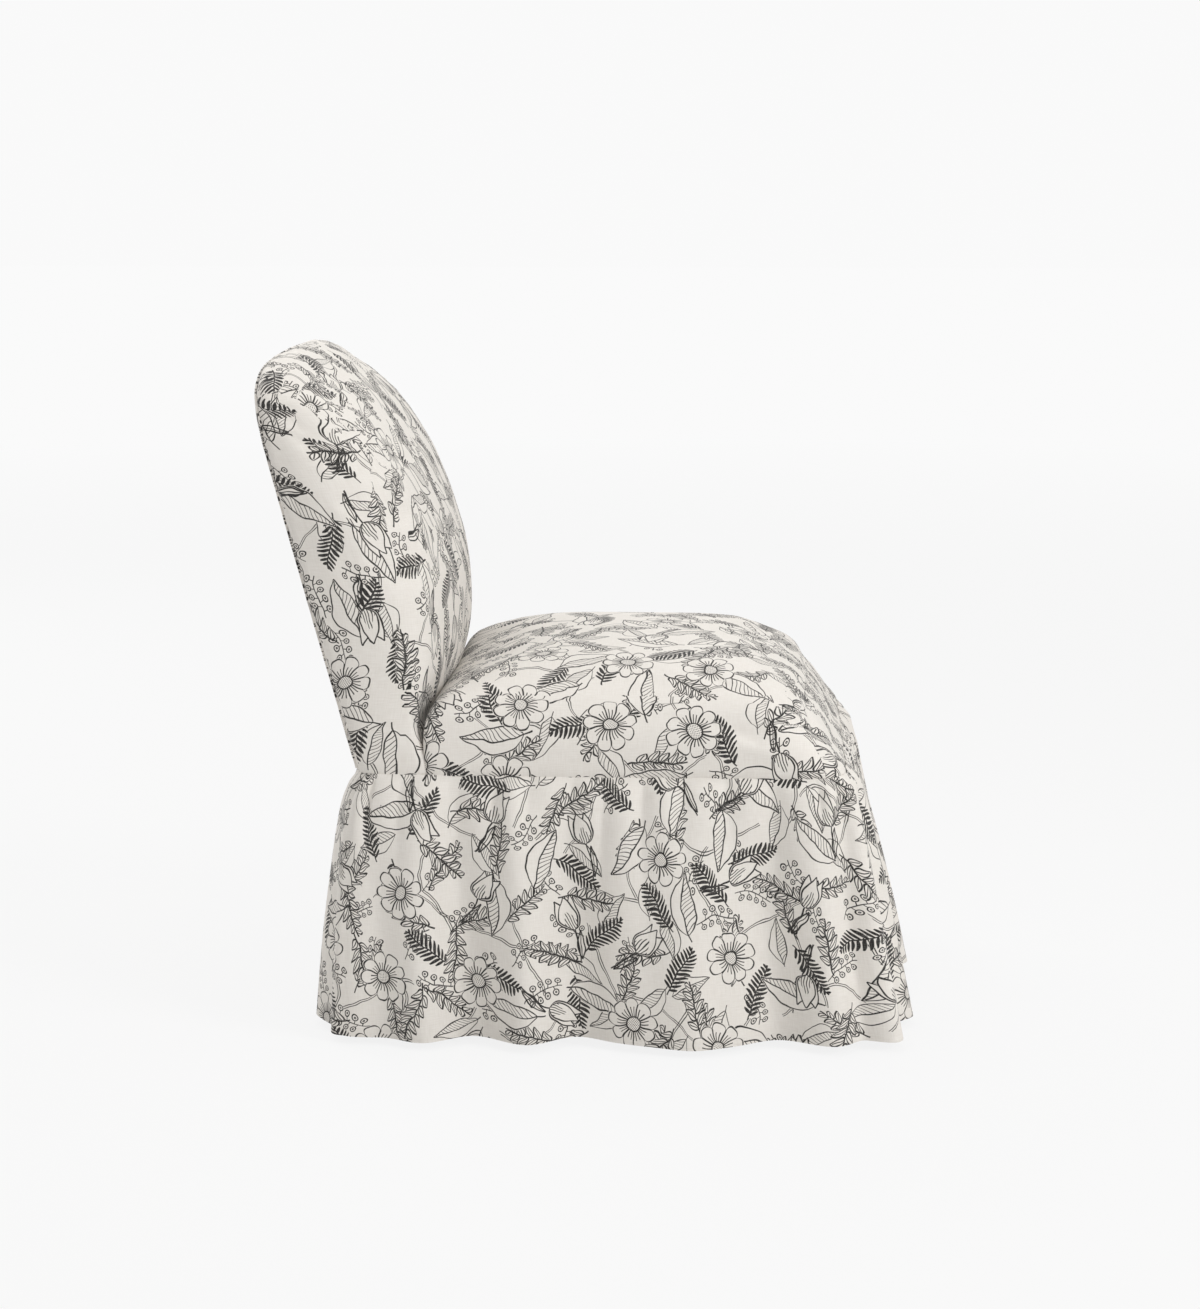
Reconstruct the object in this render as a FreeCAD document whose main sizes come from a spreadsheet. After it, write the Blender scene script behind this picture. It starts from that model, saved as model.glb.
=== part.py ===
"""Skirted slipper chair: hardwood frame, sprung seat, foam, covers and a gathered skirt.

Millimetres, +Z up. The front faces -Y, and the sitter's left is +X. The origin is on the floor
under the middle of the chair. Every size is in the spreadsheet "Sizes", and the objects of the
document are bound to it by formulas.
"""
import FreeCAD, Part
import math
import os
import re

import Sketcher

Vector = FreeCAD.Vector

SIZES = [
    ("seam_level", 340, "waist seam, where the skirt is sewn on"),
    ("cover_half_width", 284, "cover at the waist seam, from the middle"),
    ("cover_front", 327, "cover at the waist seam, front of the origin"),
    ("cover_rear", 288, "cover at the waist seam, behind the origin"),
    ("front_corner", 45, "plan radius of the seat's front corners"),
    ("rear_corner", 26, "plan radius of the back's rear corners at the seam"),
    ("seat_crown", 494, "top of the seat's crown"),
    ("back_height", 860, "top of the back's arch"),
    ("back_rake", 15, "lean of the back, degrees"),
    ("crevice_depth", 190, "front of the back behind the origin, at the seam"),
    ("side_pad", 8, "cover and wadding outside the side rails"),
    ("front_pad", 14, "cover and wadding outside the front rail"),
    ("rear_pad", 10, "cover, wadding and board behind the posts"),
    ("rail_height", 85, "seat rails, upright size"),
    ("rail_thick", 30, "seat rails, thickness"),
    ("rail_rise", 10, "top of the rails above the waist seam"),
    ("leg_size", 45, "front legs, square"),
    ("foot_size", 32, "legs at the foot, square"),
    ("post_thick", 32, "rear posts, across the chair"),
    ("post_inset", 10, "rear posts in from the side rails' outer face"),
    ("stile_depth", 38, "back stiles, square to the rake"),
    ("knee_rise", 7, "front corner of the posts above the rails, where the stiles begin"),
    ("post_drop", 80, "top of the posts below the back's arch"),
    ("top_rail_height", 48, "top rail at its ends"),
    ("top_rail_rise", 30, "arch of the top rail"),
    ("lumbar_height", 60, "lumbar rail, upright size"),
    ("lumbar_start", 90, "lumbar rail above the bend of the posts"),
    ("block_reach", 70, "corner blocks along the rails, past the leg"),
    ("block_drop", 12, "corner blocks below the rails' top"),
    ("block_lift", 13, "corner blocks above the rails' bottom"),
    ("dowel_dia", 10, "dowels"),
    ("dowel_length", 50, "dowels"),
    ("screw_dia", 4.5, "corner block screws"),
    ("screw_length", 42, "corner block screws, under the head"),
    ("screw_head_dia", 8.5, "corner block screws, head"),
    ("screw_head_height", 3, "corner block screws, head"),
    ("glide_dia", 24, "glides"),
    ("glide_height", 6, "glides"),
    ("glide_nail_dia", 3, "glides, nail"),
    ("glide_nail_length", 18, "glides, nail in the leg"),
    ("wire_dia", 3.8, "seat springs"),
    ("spring_width", 46, "seat springs, over the loops' middle lines"),
    ("spring_pitch", 28, "seat springs, run to run"),
    ("spring_step", 80, "seat springs, one to the next"),
    ("clip_height", 6, "spring clips"),
    ("clip_length", 14, "spring clips, along the spring"),
    ("clip_width", 17, "spring clips, across the spring"),
    ("stay_dia", 3, "stay wires"),
    ("stay_reach", 12, "stay wires past the outer springs"),
    ("wire_lift", 2.2, "springs above the rails, inside their clips"),
    ("deck_inset", 7, "spring deck in from the frame's outside"),
    ("deck_thick", 1.5, "spring deck fabric"),
    ("strap_width", 50, "back webbing"),
    ("strap_thick", 1.5, "back webbing"),
    ("strap_step", 120, "upright back straps, one to the next"),
    ("strap_inset", 6, "upright back straps, ends in from the rails' edges"),
    ("cross_gap", 30, "lowest cross strap above the lumbar rail"),
    ("board_inset", 6, "stiffener board in from the posts' outer faces"),
    ("cover_thick", 2, "covers"),
    ("wadding_thick", 5, "wadding"),
    ("board_thick", 2.2, "stiffener board behind the back"),
    ("dust_thick", 1.4, "dust cover"),
    ("dust_inset", 4, "dust cover in from the frame's outside"),
    ("staple_crown", 10, "staples, length"),
    ("staple_wire", 1, "staples, wire"),
    ("staple_inset", 12, "staples in from the frame's outside"),
    ("staple_pitch", 50, "staples, one to the next"),
    ("staple_start", 31, "end staples off the legs"),
    ("fit_gap", 0.3, "gap between soft pieces"),
    ("hole_gap", 0.2, "play of dowels and screws, on the diameter"),
    ("skirt_clearance", 12, "hem above the floor"),
    ("skirt_thick", 2.2, "skirt with its lining"),
    ("skirt_front", 411, "outermost hem, front of the origin"),
    ("skirt_rear", 350, "outermost hem, behind the origin"),
    ("skirt_half_width", 340, "outermost hem, from the middle"),
    ("skirt_fold", 20, "height of the hem's folds either side of their middle"),
    ("skirt_gather", 1.5, "height of the gathers at the seam"),
    ("skirt_corner", 96, "plan radius of the hem's corners"),
    ("hip_drop", 53, "level below the seam where the skirt stands out"),
    ("hip_spread", 17, "how far the skirt stands out there"),
    ("strip_height", 11, "tack strip"),
    ("strip_drop", 5, "tack strip below the waist seam"),
    ("strip_thick", 1.2, "tack strip"),
]

doc = FreeCAD.newDocument("SlipperChair")
sheet = doc.addObject("Spreadsheet::Sheet", "Sizes")
for row, (alias, number, note) in enumerate(SIZES, start=1):
    sheet.set(f"A{row}", note)
    sheet.set(f"B{row}", str(number))
    sheet.setAlias(f"B{row}", alias)
doc.recompute()

ALIASES = re.compile(r"\b(" + "|".join(alias for alias, _, _ in SIZES) + r")\b")
SIDES = {"right": -1, "left": 1}
nodes = []


def formula(text):
    """Aliases in a formula get the sheet's name."""
    return ALIASES.sub(r"Sizes.\1", str(text))


def size(text):
    """The number that a formula gives now."""
    return float(sheet.evalExpression(formula(text)))


def bind(thing, **formulas):
    for prop, text in formulas.items():
        thing.setExpression(prop, formula(text))
    return thing


def put(thing, x, y, z):
    for axis, text in zip("xyz", (x, y, z)):
        thing.setExpression(f"Placement.Base.{axis}", formula(text))
    return thing


def node(thing, name):
    """Marks an object as a piece of the chair: its Label names its file."""
    thing.Label = name
    nodes.append(thing)
    return thing


def mirrored(side, near, far):
    """The lower and upper end of a span from near to far on one side of the middle."""
    if side > 0:
        return f"({near})", f"({far})"
    return f"-({far})", f"-({near})"


def box(name, xs, ys, zs):
    made = doc.addObject("Part::Box", name)
    bind(made, Length=f"{xs[1]} - ({xs[0]})", Width=f"{ys[1]} - ({ys[0]})", Height=f"{zs[1]} - ({zs[0]})")
    return put(made, xs[0], ys[0], zs[0])


def rod(name, axis, dia, length, x, y, z):
    """A cylinder that starts at a point and runs along an axis or against it, as in "-y"."""
    made = doc.addObject("Part::Cylinder", name)
    ways = {"x": (1, 0, 0), "y": (0, 1, 0), "z": (0, 0, 1)}
    way = Vector(*ways[axis[-1]]) * (-1 if axis[0] == "-" else 1)
    made.Placement.Rotation = FreeCAD.Rotation(Vector(0, 0, 1), way)
    bind(made, Radius=f"({dia}) / 2", Height=length)
    return put(made, x, y, z)


def group(name, members):
    made = doc.addObject("Part::Compound", name)
    made.Links = members
    return made


def cut(name, base, tool):
    made = doc.addObject("Part::Cut", name)
    made.Base = base
    made.Tool = tool
    return made


def shaped(name, shape):
    """A piece whose shape Part's own functions made from the sheet's sizes."""
    made = doc.addObject("Part::Feature", name)
    made.Shape = shape
    made.Placement = FreeCAD.Placement()
    return made


def pad(name, plane, level, outline, length, arcs=None):
    """A body: an outline of bound corners on a plane at a level, padded along the plane's normal.

    arcs gives, for the number of a side, the level of its arc's centre; the other sides are lines.
    """
    body = doc.addObject("PartDesign::Body", name)
    sketch = body.newObject("Sketcher::SketchObject", name + "_outline")
    base = [item for item in body.Origin.OriginFeatures if item.Role == plane][0]
    sketch.AttachmentSupport = [(base, "")]
    sketch.MapMode = "FlatFace"
    sketch.setExpression("AttachmentOffset.Base.z", formula(level))
    corners = [Vector(size(u), size(v), 0) for u, v in outline]
    count = len(corners)
    arcs = arcs or {}
    for number in range(count):
        start, end = corners[number], corners[(number + 1) % count]
        if number in arcs:
            middle = Vector((start.x + end.x) / 2, size(arcs[number]), 0)
            radius = start.distanceToPoint(middle)
            sketch.addGeometry(Part.Arc(start, middle + Vector(0, radius, 0), end))
        else:
            sketch.addGeometry(Part.LineSegment(start, end))
    ends = {}
    for number in range(count):
        turned = number in arcs and corners[number].x > corners[(number + 1) % count].x
        plain = number not in arcs
        ends[number] = (1, 2) if plain or turned else (2, 1)
    for number in range(count):
        following = (number + 1) % count
        pair = (number, ends[number][1], following, ends[following][0])
        sketch.addConstraint(Sketcher.Constraint("Coincident", *pair))
    for number, (u, v) in enumerate(outline):
        for kind, text in (("DistanceX", u), ("DistanceY", v)):
            rule = Sketcher.Constraint(kind, -1, 1, number, ends[number][0], size(text))
            index = sketch.addConstraint(rule)
            sketch.setExpression(f"Constraints[{index}]", formula(text))
    for number, text in arcs.items():
        index = sketch.addConstraint(Sketcher.Constraint("DistanceY", -1, 1, number, 3, size(text)))
        sketch.setExpression(f"Constraints[{index}]", formula(text))
    solid = body.newObject("PartDesign::Pad", name + "_pad")
    solid.Profile = sketch
    bind(solid, Length=length)
    return body


# Frame lines, as formulas
HALF = "(cover_half_width - side_pad)"
FRONT = "(cover_front - front_pad)"
REAR = "(cover_rear - rear_pad)"
RAIL_TOP = "(seam_level + rail_rise)"
RAIL_BOTTOM = "(seam_level + rail_rise - rail_height)"
POST_OUT = f"({HALF} - post_inset)"
POST_IN = f"({HALF} - post_inset - post_thick)"
POST_FRONT = f"({REAR} - leg_size)"
LEG_BACK = f"(-{FRONT} + leg_size)"
LEG_IN = f"({HALF} - leg_size)"
TAN = "tan(back_rake * 1deg)"
COS = "cos(back_rake * 1deg)"
SIN = "sin(back_rake * 1deg)"
POST_TOP = "(back_height - post_drop)"
KNEE = f"({RAIL_TOP} + knee_rise)"
BLOCK_HEIGHT = "(rail_height - block_drop - block_lift)"
TOP_RAIL = f"(({POST_TOP} - seam_level) / {COS} - top_rail_height - stile_depth * {TAN})"


def raked_box(name, xs, ys, zs):
    """A box in the back's own frame: y square to the rake from the posts' rear, z along it."""
    made = doc.addObject("Part::Box", name)
    bind(made, Length=f"{xs[1]} - ({xs[0]})", Width=f"{ys[1]} - ({ys[0]})", Height=f"{zs[1]} - ({zs[0]})")
    return rake(made, xs[0], ys[0], zs[0])


def rake(thing, x, y, z):
    """Moves a thing made at the origin to a point of the back's frame and leans it back."""
    along = f"{REAR} + ({y}) * {COS} + ({z}) * {SIN}"
    up = f"seam_level - ({y}) * {SIN} + ({z}) * {COS}"
    turned = f"placement(vector({x}; {along}; {up}); rotation(vector(1; 0; 0); -back_rake))"
    return bind(thing, Placement=turned)


def dowel_joints():
    """Two dowels at each end of each seat rail: the dowels, and the holes that take them."""
    dowels, holes = [], []
    levels = [f"{RAIL_BOTTOM} + rail_height * 0.27", f"{RAIL_TOP} - rail_height * 0.27"]
    spots = []
    for side in SIDES.values():
        rail_middle = f"{side} * ({POST_OUT} + {HALF} - rail_thick) / 2"
        spots.append(("y", rail_middle, LEG_BACK))
        spots.append(("y", rail_middle, POST_FRONT))
        spots.append(("x", f"{side} * {LEG_IN}", f"-{FRONT} + rail_thick / 2"))
        spots.append(("x", f"{side} * {POST_IN}", f"{REAR} - rail_thick / 2"))
    for axis, x, y in spots:
        for level in levels:
            for made, dia, length in (
                (dowels, "dowel_dia", "dowel_length"),
                (holes, "dowel_dia + hole_gap", "dowel_length + 2 * hole_gap"),
            ):
                start_x = f"{x} - ({length}) / 2" if axis == "x" else x
                start_y = f"{y} - ({length}) / 2" if axis == "y" else y
                made.append(rod("dowel", axis, dia, length, start_x, start_y, level))
    return dowels, holes


def block_screws():
    """Two screws through each corner block, one into each rail, and the holes for them."""
    screws, holes = [], []
    level = f"{RAIL_TOP} - block_drop - {BLOCK_HEIGHT} / 2"
    for side in SIDES.values():
        for front in (True, False):
            across = f"({HALF} - rail_thick)"
            leg = LEG_IN if front else POST_IN
            far = f"(-{FRONT} + rail_thick)" if front else f"({REAR} - rail_thick)"
            inward = 1 if front else -1
            into = "-y" if front else "y"
            seat = "screw_length * 0.45"
            side_y = f"{LEG_BACK} + block_reach * 0.4" if front else f"{POST_FRONT} - block_reach * 0.4"
            shank_x = f"{side} * ({leg} - block_reach * 0.4)"
            head_y = f"{far} + {inward} * {seat}"
            side_x = f"{side} * ({across} - {seat})"
            out = "x" if side > 0 else "-x"
            for axis, x, y, z in (
                (into, shank_x, head_y, f"{level} - {BLOCK_HEIGHT} / 4"),
                (out, side_x, side_y, f"{level} + {BLOCK_HEIGHT} / 4"),
            ):
                screws.append(rod("shank", axis, "screw_dia", "screw_length", x, y, z))
                holes.append(rod("pilot", axis, "screw_dia + hole_gap", "screw_length + hole_gap", x, y, z))
                back = axis[1:] if axis[0] == "-" else "-" + axis
                screws.append(rod("head", back, "screw_head_dia", "screw_head_height", x, y, z))
                holes.append(rod("bore", back, "screw_head_dia + 2 * hole_gap", "block_reach", x, y, z))
    return screws, holes


def seat_frame(back_holes):
    """Rails, front legs and rear posts, with the holes of their dowels and screws."""
    dowels, dowel_holes = dowel_joints()
    screws, screw_holes = block_screws()
    holes = group("frame_holes", dowel_holes + screw_holes)
    node(group("rail_dowels", dowels), "rail_dowels")
    joined = []
    for number in range(0, len(screws), 2):
        screw = doc.addObject("Part::Fuse", "screw")
        screw.Base = screws[number]
        screw.Tool = screws[number + 1]
        joined.append(screw)
    node(group("block_screws", joined), "block_screws")
    height = (RAIL_BOTTOM, RAIL_TOP)
    front = box("front_blank", (f"-{LEG_IN}", LEG_IN), (f"-{FRONT}", f"-{FRONT} + rail_thick"), height)
    node(cut("seat_rail_front", front, holes), "seat_rail_front")
    rear = box("rear_blank", (f"-{POST_IN}", POST_IN), (f"{REAR} - rail_thick", REAR), height)
    node(cut("seat_rail_rear", rear, holes), "seat_rail_rear")
    for word, side in SIDES.items():
        across = mirrored(side, f"{HALF} - rail_thick", HALF)
        rail = box(f"{word}_blank", across, (LEG_BACK, POST_FRONT), height)
        node(cut(f"seat_rail_{word}", rail, holes), f"seat_rail_{word}")
        node(cut(f"front_leg_{word}", front_leg(word, side), holes), f"front_leg_{word}")
        post = cut(f"rear_post_{word}_doweled", rear_post(word, side), back_holes)
        node(cut(f"rear_post_{word}", post, holes), f"rear_post_{word}")
        for end in ("front", "rear"):
            name = f"corner_block_{end}_{word}"
            node(cut(name, corner_block(name, side, end), holes), name)


def nail_hole(x, y):
    length = "glide_nail_length + hole_gap"
    return rod("nail_hole", "z", "glide_nail_dia + hole_gap", length, x, y, "glide_height")


def front_leg(word, side):
    """A square leg with its outer edge rounded, tapered on its inner faces below the rails."""
    xs = mirrored(side, LEG_IN, HALF)
    ys = (f"(-{FRONT})", f"({LEG_BACK})")
    corners = [(xs[0], ys[0]), (xs[1], ys[0]), (xs[1], ys[1]), (xs[0], ys[1])]
    body = pad(f"leg_{word}", "XY_Plane", "glide_height", corners, f"{RAIL_TOP} - glide_height")
    doc.recompute()
    outer_x, outer_y = size(f"{side} * {HALF}"), size(f"-{FRONT}")
    block = body.Tip
    for number, edge in enumerate(block.Shape.Edges, start=1):
        middle = edge.CenterOfMass
        if abs(middle.x - outer_x) < 0.01 and abs(middle.y - outer_y) < 0.01:
            outer_edge = f"Edge{number}"
    rounding = body.newObject("PartDesign::Fillet", f"leg_{word}_rounding")
    rounding.Base = (block, [outer_edge])
    bind(rounding, Radius="front_corner - side_pad")
    body.Tip = rounding
    foot_x, foot_y = f"{side} * ({HALF} - foot_size)", f"-({FRONT} - foot_size)"
    leg_x = f"{side} * {LEG_IN}"
    wedge_x = [(leg_x, RAIL_BOTTOM), (foot_x, "glide_height"), (leg_x, "glide_height")]
    wedge_y = [(LEG_BACK, RAIL_BOTTOM), (foot_y, "glide_height"), (LEG_BACK, "glide_height")]
    inner_x = pad(f"taper_{word}_x", "XZ_Plane", f"-({LEG_BACK})", wedge_x, "leg_size")
    inner_y = pad(f"taper_{word}_y", "YZ_Plane", xs[0], wedge_y, "leg_size")
    hole = nail_hole(f"{side} * ({HALF} - foot_size / 2)", f"-{FRONT} + foot_size / 2")
    waste = group(f"leg_{word}_waste", [inner_x, inner_y, hole])
    return cut(f"leg_{word}_tapered", body, waste)


def rear_post(word, side):
    """A rear leg and its raked stile, sawn from one board."""
    outline = [
        (f"{REAR} - foot_size", "glide_height"),
        (REAR, "glide_height"),
        (REAR, "seam_level"),
        (f"{REAR} + ({POST_TOP} - seam_level) * {TAN}", POST_TOP),
        (f"{REAR} - stile_depth / {COS} + ({POST_TOP} - seam_level) * {TAN}", POST_TOP),
        (f"{REAR} - stile_depth / {COS} + ({KNEE} - seam_level) * {TAN}", KNEE),
        (POST_FRONT, RAIL_TOP),
        (POST_FRONT, RAIL_BOTTOM),
    ]
    inner = mirrored(side, POST_IN, POST_OUT)[0]
    body = pad(f"post_{word}", "YZ_Plane", inner, outline, "post_thick")
    hole = nail_hole(f"{side} * ({POST_IN} + post_thick / 2)", f"{REAR} - foot_size / 2")
    return cut(f"post_{word}_drilled", body, hole)


def corner_block(name, side, end):
    """A five-sided block across a corner of the frame, sawn out round the leg's inner edge."""
    across = f"({HALF} - rail_thick)"
    if end == "front":
        leg_x, leg_y, face_y, way = LEG_IN, LEG_BACK, f"(-{FRONT} + rail_thick)", 1
    else:
        leg_x, leg_y, face_y, way = POST_IN, POST_FRONT, f"({REAR} - rail_thick)", -1
    outline = [
        (f"{side} * ({leg_x} - fit_gap)", face_y),
        (f"{side} * ({leg_x} - block_reach)", face_y),
        (f"{side} * {across}", f"{leg_y} + {way} * block_reach"),
        (f"{side} * {across}", f"{leg_y} + {way} * fit_gap"),
        (f"{side} * ({leg_x} - fit_gap)", f"{leg_y} + {way} * fit_gap"),
    ]
    level = f"{RAIL_BOTTOM} + block_lift"
    return pad(f"{name}_blank", "XY_Plane", level, outline, BLOCK_HEIGHT)


def back_dowel_joints():
    """Two dowels at each end of the back's two rails: the dowels, and the holes for them."""
    dowels, holes = [], []
    for side in SIDES.values():
        for z in (
            "lumbar_start + lumbar_height / 4",
            "lumbar_start + lumbar_height * 3 / 4",
            f"{TOP_RAIL} + top_rail_height / 4",
            f"{TOP_RAIL} + top_rail_height * 3 / 4",
        ):
            for made, dia, length in (
                (dowels, "dowel_dia", "dowel_length"),
                (holes, "dowel_dia + hole_gap", "dowel_length + 2 * hole_gap"),
            ):
                x = f"{side} * {POST_IN} - ({length}) / 2"
                y = f"{REAR} - stile_depth / 2 * {COS} + ({z}) * {SIN}"
                up = f"seam_level + stile_depth / 2 * {SIN} + ({z}) * {COS}"
                made.append(rod("back_dowel", "x", dia, length, x, y, up))
    return dowels, holes


def back_frame(holes):
    """The arched top rail and the lumbar rail between the stiles."""
    middle = "top_rail_height + top_rail_rise"
    radius = f"({POST_IN} * {POST_IN} + top_rail_rise * top_rail_rise) / (2 * top_rail_rise)"
    outline = [
        (f"-{POST_IN}", "0"),
        (POST_IN, "0"),
        (POST_IN, "top_rail_height"),
        (f"-{POST_IN}", "top_rail_height"),
    ]
    arch = pad("top_rail_arch", "XZ_Plane", "0", outline, "stile_depth", {2: f"{middle} - {radius}"})
    rake(arch, "0", "0", TOP_RAIL)
    span = (f"-{POST_IN}", POST_IN)
    depth = ("-stile_depth", "0")
    lumbar = raked_box("lumbar_blank", span, depth, ("lumbar_start", "lumbar_start + lumbar_height"))
    node(cut("back_top_rail", arch, holes), "back_top_rail")
    node(cut("back_lumbar_rail", lumbar, holes), "back_lumbar_rail")


def glides():
    """A domed glide nailed under each leg, with the flat face that stands on the floor."""
    for word, side in SIDES.items():
        spots = {
            "front": (f"{side} * ({HALF} - foot_size / 2)", f"-{FRONT} + foot_size / 2"),
            "rear": (f"{side} * ({POST_IN} + post_thick / 2)", f"{REAR} - foot_size / 2"),
        }
        for end, (x, y) in spots.items():
            name = f"glide_{end}_{word}"
            foot = doc.addObject("Part::Cone", "glide_foot")
            bind(foot, Radius1="glide_dia * 0.38", Radius2="glide_dia / 2", Height="glide_height / 2")
            put(foot, x, y, "0")
            disc = rod("glide_disc", "z", "glide_dia", "glide_height / 2", x, y, "glide_height / 2")
            nail = rod("glide_nail", "z", "glide_nail_dia", "glide_nail_length", x, y, "glide_height")
            whole = doc.addObject("Part::MultiFuse", name)
            whole.Shapes = [foot, disc, nail]
            node(whole, name)


back_dowels, back_dowel_holes = back_dowel_joints()
node(group("back_dowels", back_dowels), "back_dowels")
back_holes = group("back_holes", back_dowel_holes)
seat_frame(back_holes)
back_frame(back_holes)
glides()


def section(z, half, front, rear, front_corner, rear_corner, bulges):
    """A closed plan outline at a level: four slightly bowed sides and four round corners."""
    side_bulge, front_bulge, rear_bulge = bulges
    edges = []

    def bow(start, middle, end):
        points = [Vector(x, y, z) for x, y in (start, middle, end)]
        edges.append(Part.Arc(*points).toShape())

    def corner(x, y, radius, sx, sy, along_x_first):
        middle_x = x - sx * radius * (1 - math.sqrt(0.5))
        middle_y = y - sy * radius * (1 - math.sqrt(0.5))
        on_x = (x - sx * radius, y)
        on_y = (x, y - sy * radius)
        first, last = (on_x, on_y) if along_x_first else (on_y, on_x)
        bow(first, (middle_x, middle_y), last)

    rf, rr = front_corner, rear_corner
    middle_y = (front + rf + rear - rr) / 2
    bow((-half + rf, front), (0, front - front_bulge), (half - rf, front))
    corner(half, front, rf, 1, -1, True)
    bow((half, front + rf), (half + side_bulge, middle_y), (half, rear - rr))
    corner(half, rear, rr, 1, 1, False)
    bow((half - rr, rear), (0, rear + rear_bulge), (-half + rr, rear))
    corner(-half, rear, rr, -1, 1, True)
    bow((-half, rear - rr), (-half - side_bulge, middle_y), (-half, front + rf))
    corner(-half, front, rf, -1, -1, False)
    return Part.Wire(edges)


def loft(levels, inset, bulges):
    """A ruled solid through plan outlines, each set in by the same amount.

    A level is (z, half width, front, rear, front corner, rear corner, whether its height is inset).
    """
    wires = []
    for z, half, front, rear, rf, rr, top in levels:
        lowered = z - inset if top else z
        corners = (max(rf - inset, 1.5), max(rr - inset, 1.5))
        wires.append(section(lowered, half - inset, front + inset, rear - inset, *corners, bulges))
    return Part.makeLoft(wires, True, True)


BAND_DROP = 74
SEAT_BOW = (2, 1.5, 1)
BACK_BOW = (1, 6, 0.5)


def seat_form(inset, deeper=0):
    """The seat's outer form set in by an amount: a splayed front, round edges and a crown."""
    seam, crown = size("seam_level"), size("seat_crown")
    half, front = size("cover_half_width"), -size("cover_front")
    rf, crevice = size("front_corner"), size("crevice_depth")
    rear = crevice + 10
    # level, half width, front, rear, front corner, rear corner, whether the level is set in too
    levels = [
        (seam - BAND_DROP - deeper, half - 0.5, front + 6, rear, rf - 3, 3, False),
        (seam - 30, half, front + 1, rear, rf, 3, False),
        (seam + 8, half, front + 4, rear, rf, 3, False),
        (crown - 109, half - 2, front + 25, rear, rf, 3, False),
        (crown - 72, half - 3, front + 36, rear, rf + 1, 3, True),
        (crown - 47, half - 8, front + 40, rear - 2, rf + 5, 8, True),
        (crown - 31, half - 21, front + 46, crevice - 24, rf + 10, 26, True),
        (crown - 21, half - 42, front + 67, crevice - 58, rf + 15, 38, True),
        (crown - 12, half - 75, front + 104, crevice - 100, rf + 20, 50, True),
        (crown - 5, half - 120, front + 140, crevice - 160, rf + 15, 50, True),
        (crown, half - 185, front + 185, crevice - 250, 28, 28, True),
    ]
    return loft(levels, inset, SEAT_BOW)


def back_form(inset, deeper=0):
    """The back's outer form set in by an amount: raked, thick, with an arched top."""
    seam, top = size("seam_level"), size("back_height")
    half, plane, front = size("cover_half_width"), size("cover_rear"), size("crevice_depth")
    corner = size("rear_corner")
    slope = math.tan(math.radians(size("back_rake")))
    # rise above the seam, half width, front past the crevice, front corner, rear corner
    shapes = [
        (60, half - 1, 0, 4, corner - 2),
        (110, half - 2, -12, 18, corner - 4),
        (160, half - 3, -17, 34, corner - 8),
        (top - seam - 300, half - 4, -14, 44, corner - 11),
        (top - seam - 220, half - 5, 4, 50, corner - 12),
        (top - seam - 160, half - 6, 24, 50, corner - 12),
        (top - seam - 110, half - 7, 52, 50, corner - 12),
        (top - seam - 75, half - 9, 76, 50, corner - 10),
        (top - seam - 48, half - 18, 100, 45, corner - 2),
        (top - seam - 30, half - 38, 118, 40, 34),
        (top - seam - 15, half - 72, 139, 32, 30),
        (top - seam - 5, half - 119, 158, 18, 18),
        (top - seam, half - 179, 172, 8, 8),
    ]
    # level, half width, front, rear, front corner, rear corner, whether the level is set in too
    levels = [
        (seam - BAND_DROP - deeper, half - 0.5, front, plane, 3, corner, False),
        (seam, half, front, plane, 3, corner, False),
    ]
    rounding = {-48: 2, -30: 9, -15: 20, -5: 31, 0: 43}
    for rise, width, out, rf, rr in shapes:
        from_top = round(rise - (top - seam))
        rear = plane + rise * slope - rounding.get(from_top, 0)
        if from_top in (0, -5):
            rear = front + out + (20, 45)[from_top == -5]
        levels.append((seam + rise, width, front + out, rear, rf, rr, from_top >= -110))
    return loft(levels, inset, BACK_BOW)


def plate(z, height, half, front, rear, rf, rr):
    outline = section(z, half, front, rear, rf, rr, (0.05, 0.05, 0.05))
    return Part.Face(outline).extrude(Vector(0, 0, height))


def frame_space(top):
    """The room that the seat frame takes, up to a level, with its rounded corners."""
    gap = size("fit_gap")
    bottom = size("seam_level") - BAND_DROP - 20
    half, front, rear = size(HALF) + gap, -size(FRONT) - gap, size(REAR) + gap
    corner = size("front_corner - side_pad")
    return plate(bottom, top - bottom, half, front, rear, corner, size("rear_corner - side_pad"))


def behind(depth, low=-200, high=900):
    """All that lies behind a raked plane at a depth in front of the posts' rear."""
    width = 800
    block = Part.makeBox(width, width, high - low, Vector(-width / 2, 0, low))
    block.translate(Vector(0, -depth, 0))
    block.rotate(Vector(0, 0, 0), Vector(1, 0, 0), -size("back_rake"))
    block.translate(Vector(0, size(REAR), size("seam_level")))
    return block


def below(level):
    """All that lies under a level."""
    width = 2000
    return Part.makeBox(width, width, level + width, Vector(-width / 2, -width / 2, -width))


GAP = size("fit_gap")
COVER_IN = size("cover_thick")
WAD_OUT = COVER_IN + GAP
WAD_IN = WAD_OUT + size("wadding_thick")
FOAM_OUT = WAD_IN + GAP
WIRE_LEVEL = size(f"{RAIL_TOP} + wire_dia / 2 + wire_lift")
DECK_LEVEL = WIRE_LEVEL + size("wire_dia / 2") + GAP
FOAM_LEVEL = DECK_LEVEL + size("deck_thick") + GAP
STRAPS_DEPTH = size("stile_depth + 2 * strap_thick") + 3 * GAP


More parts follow.
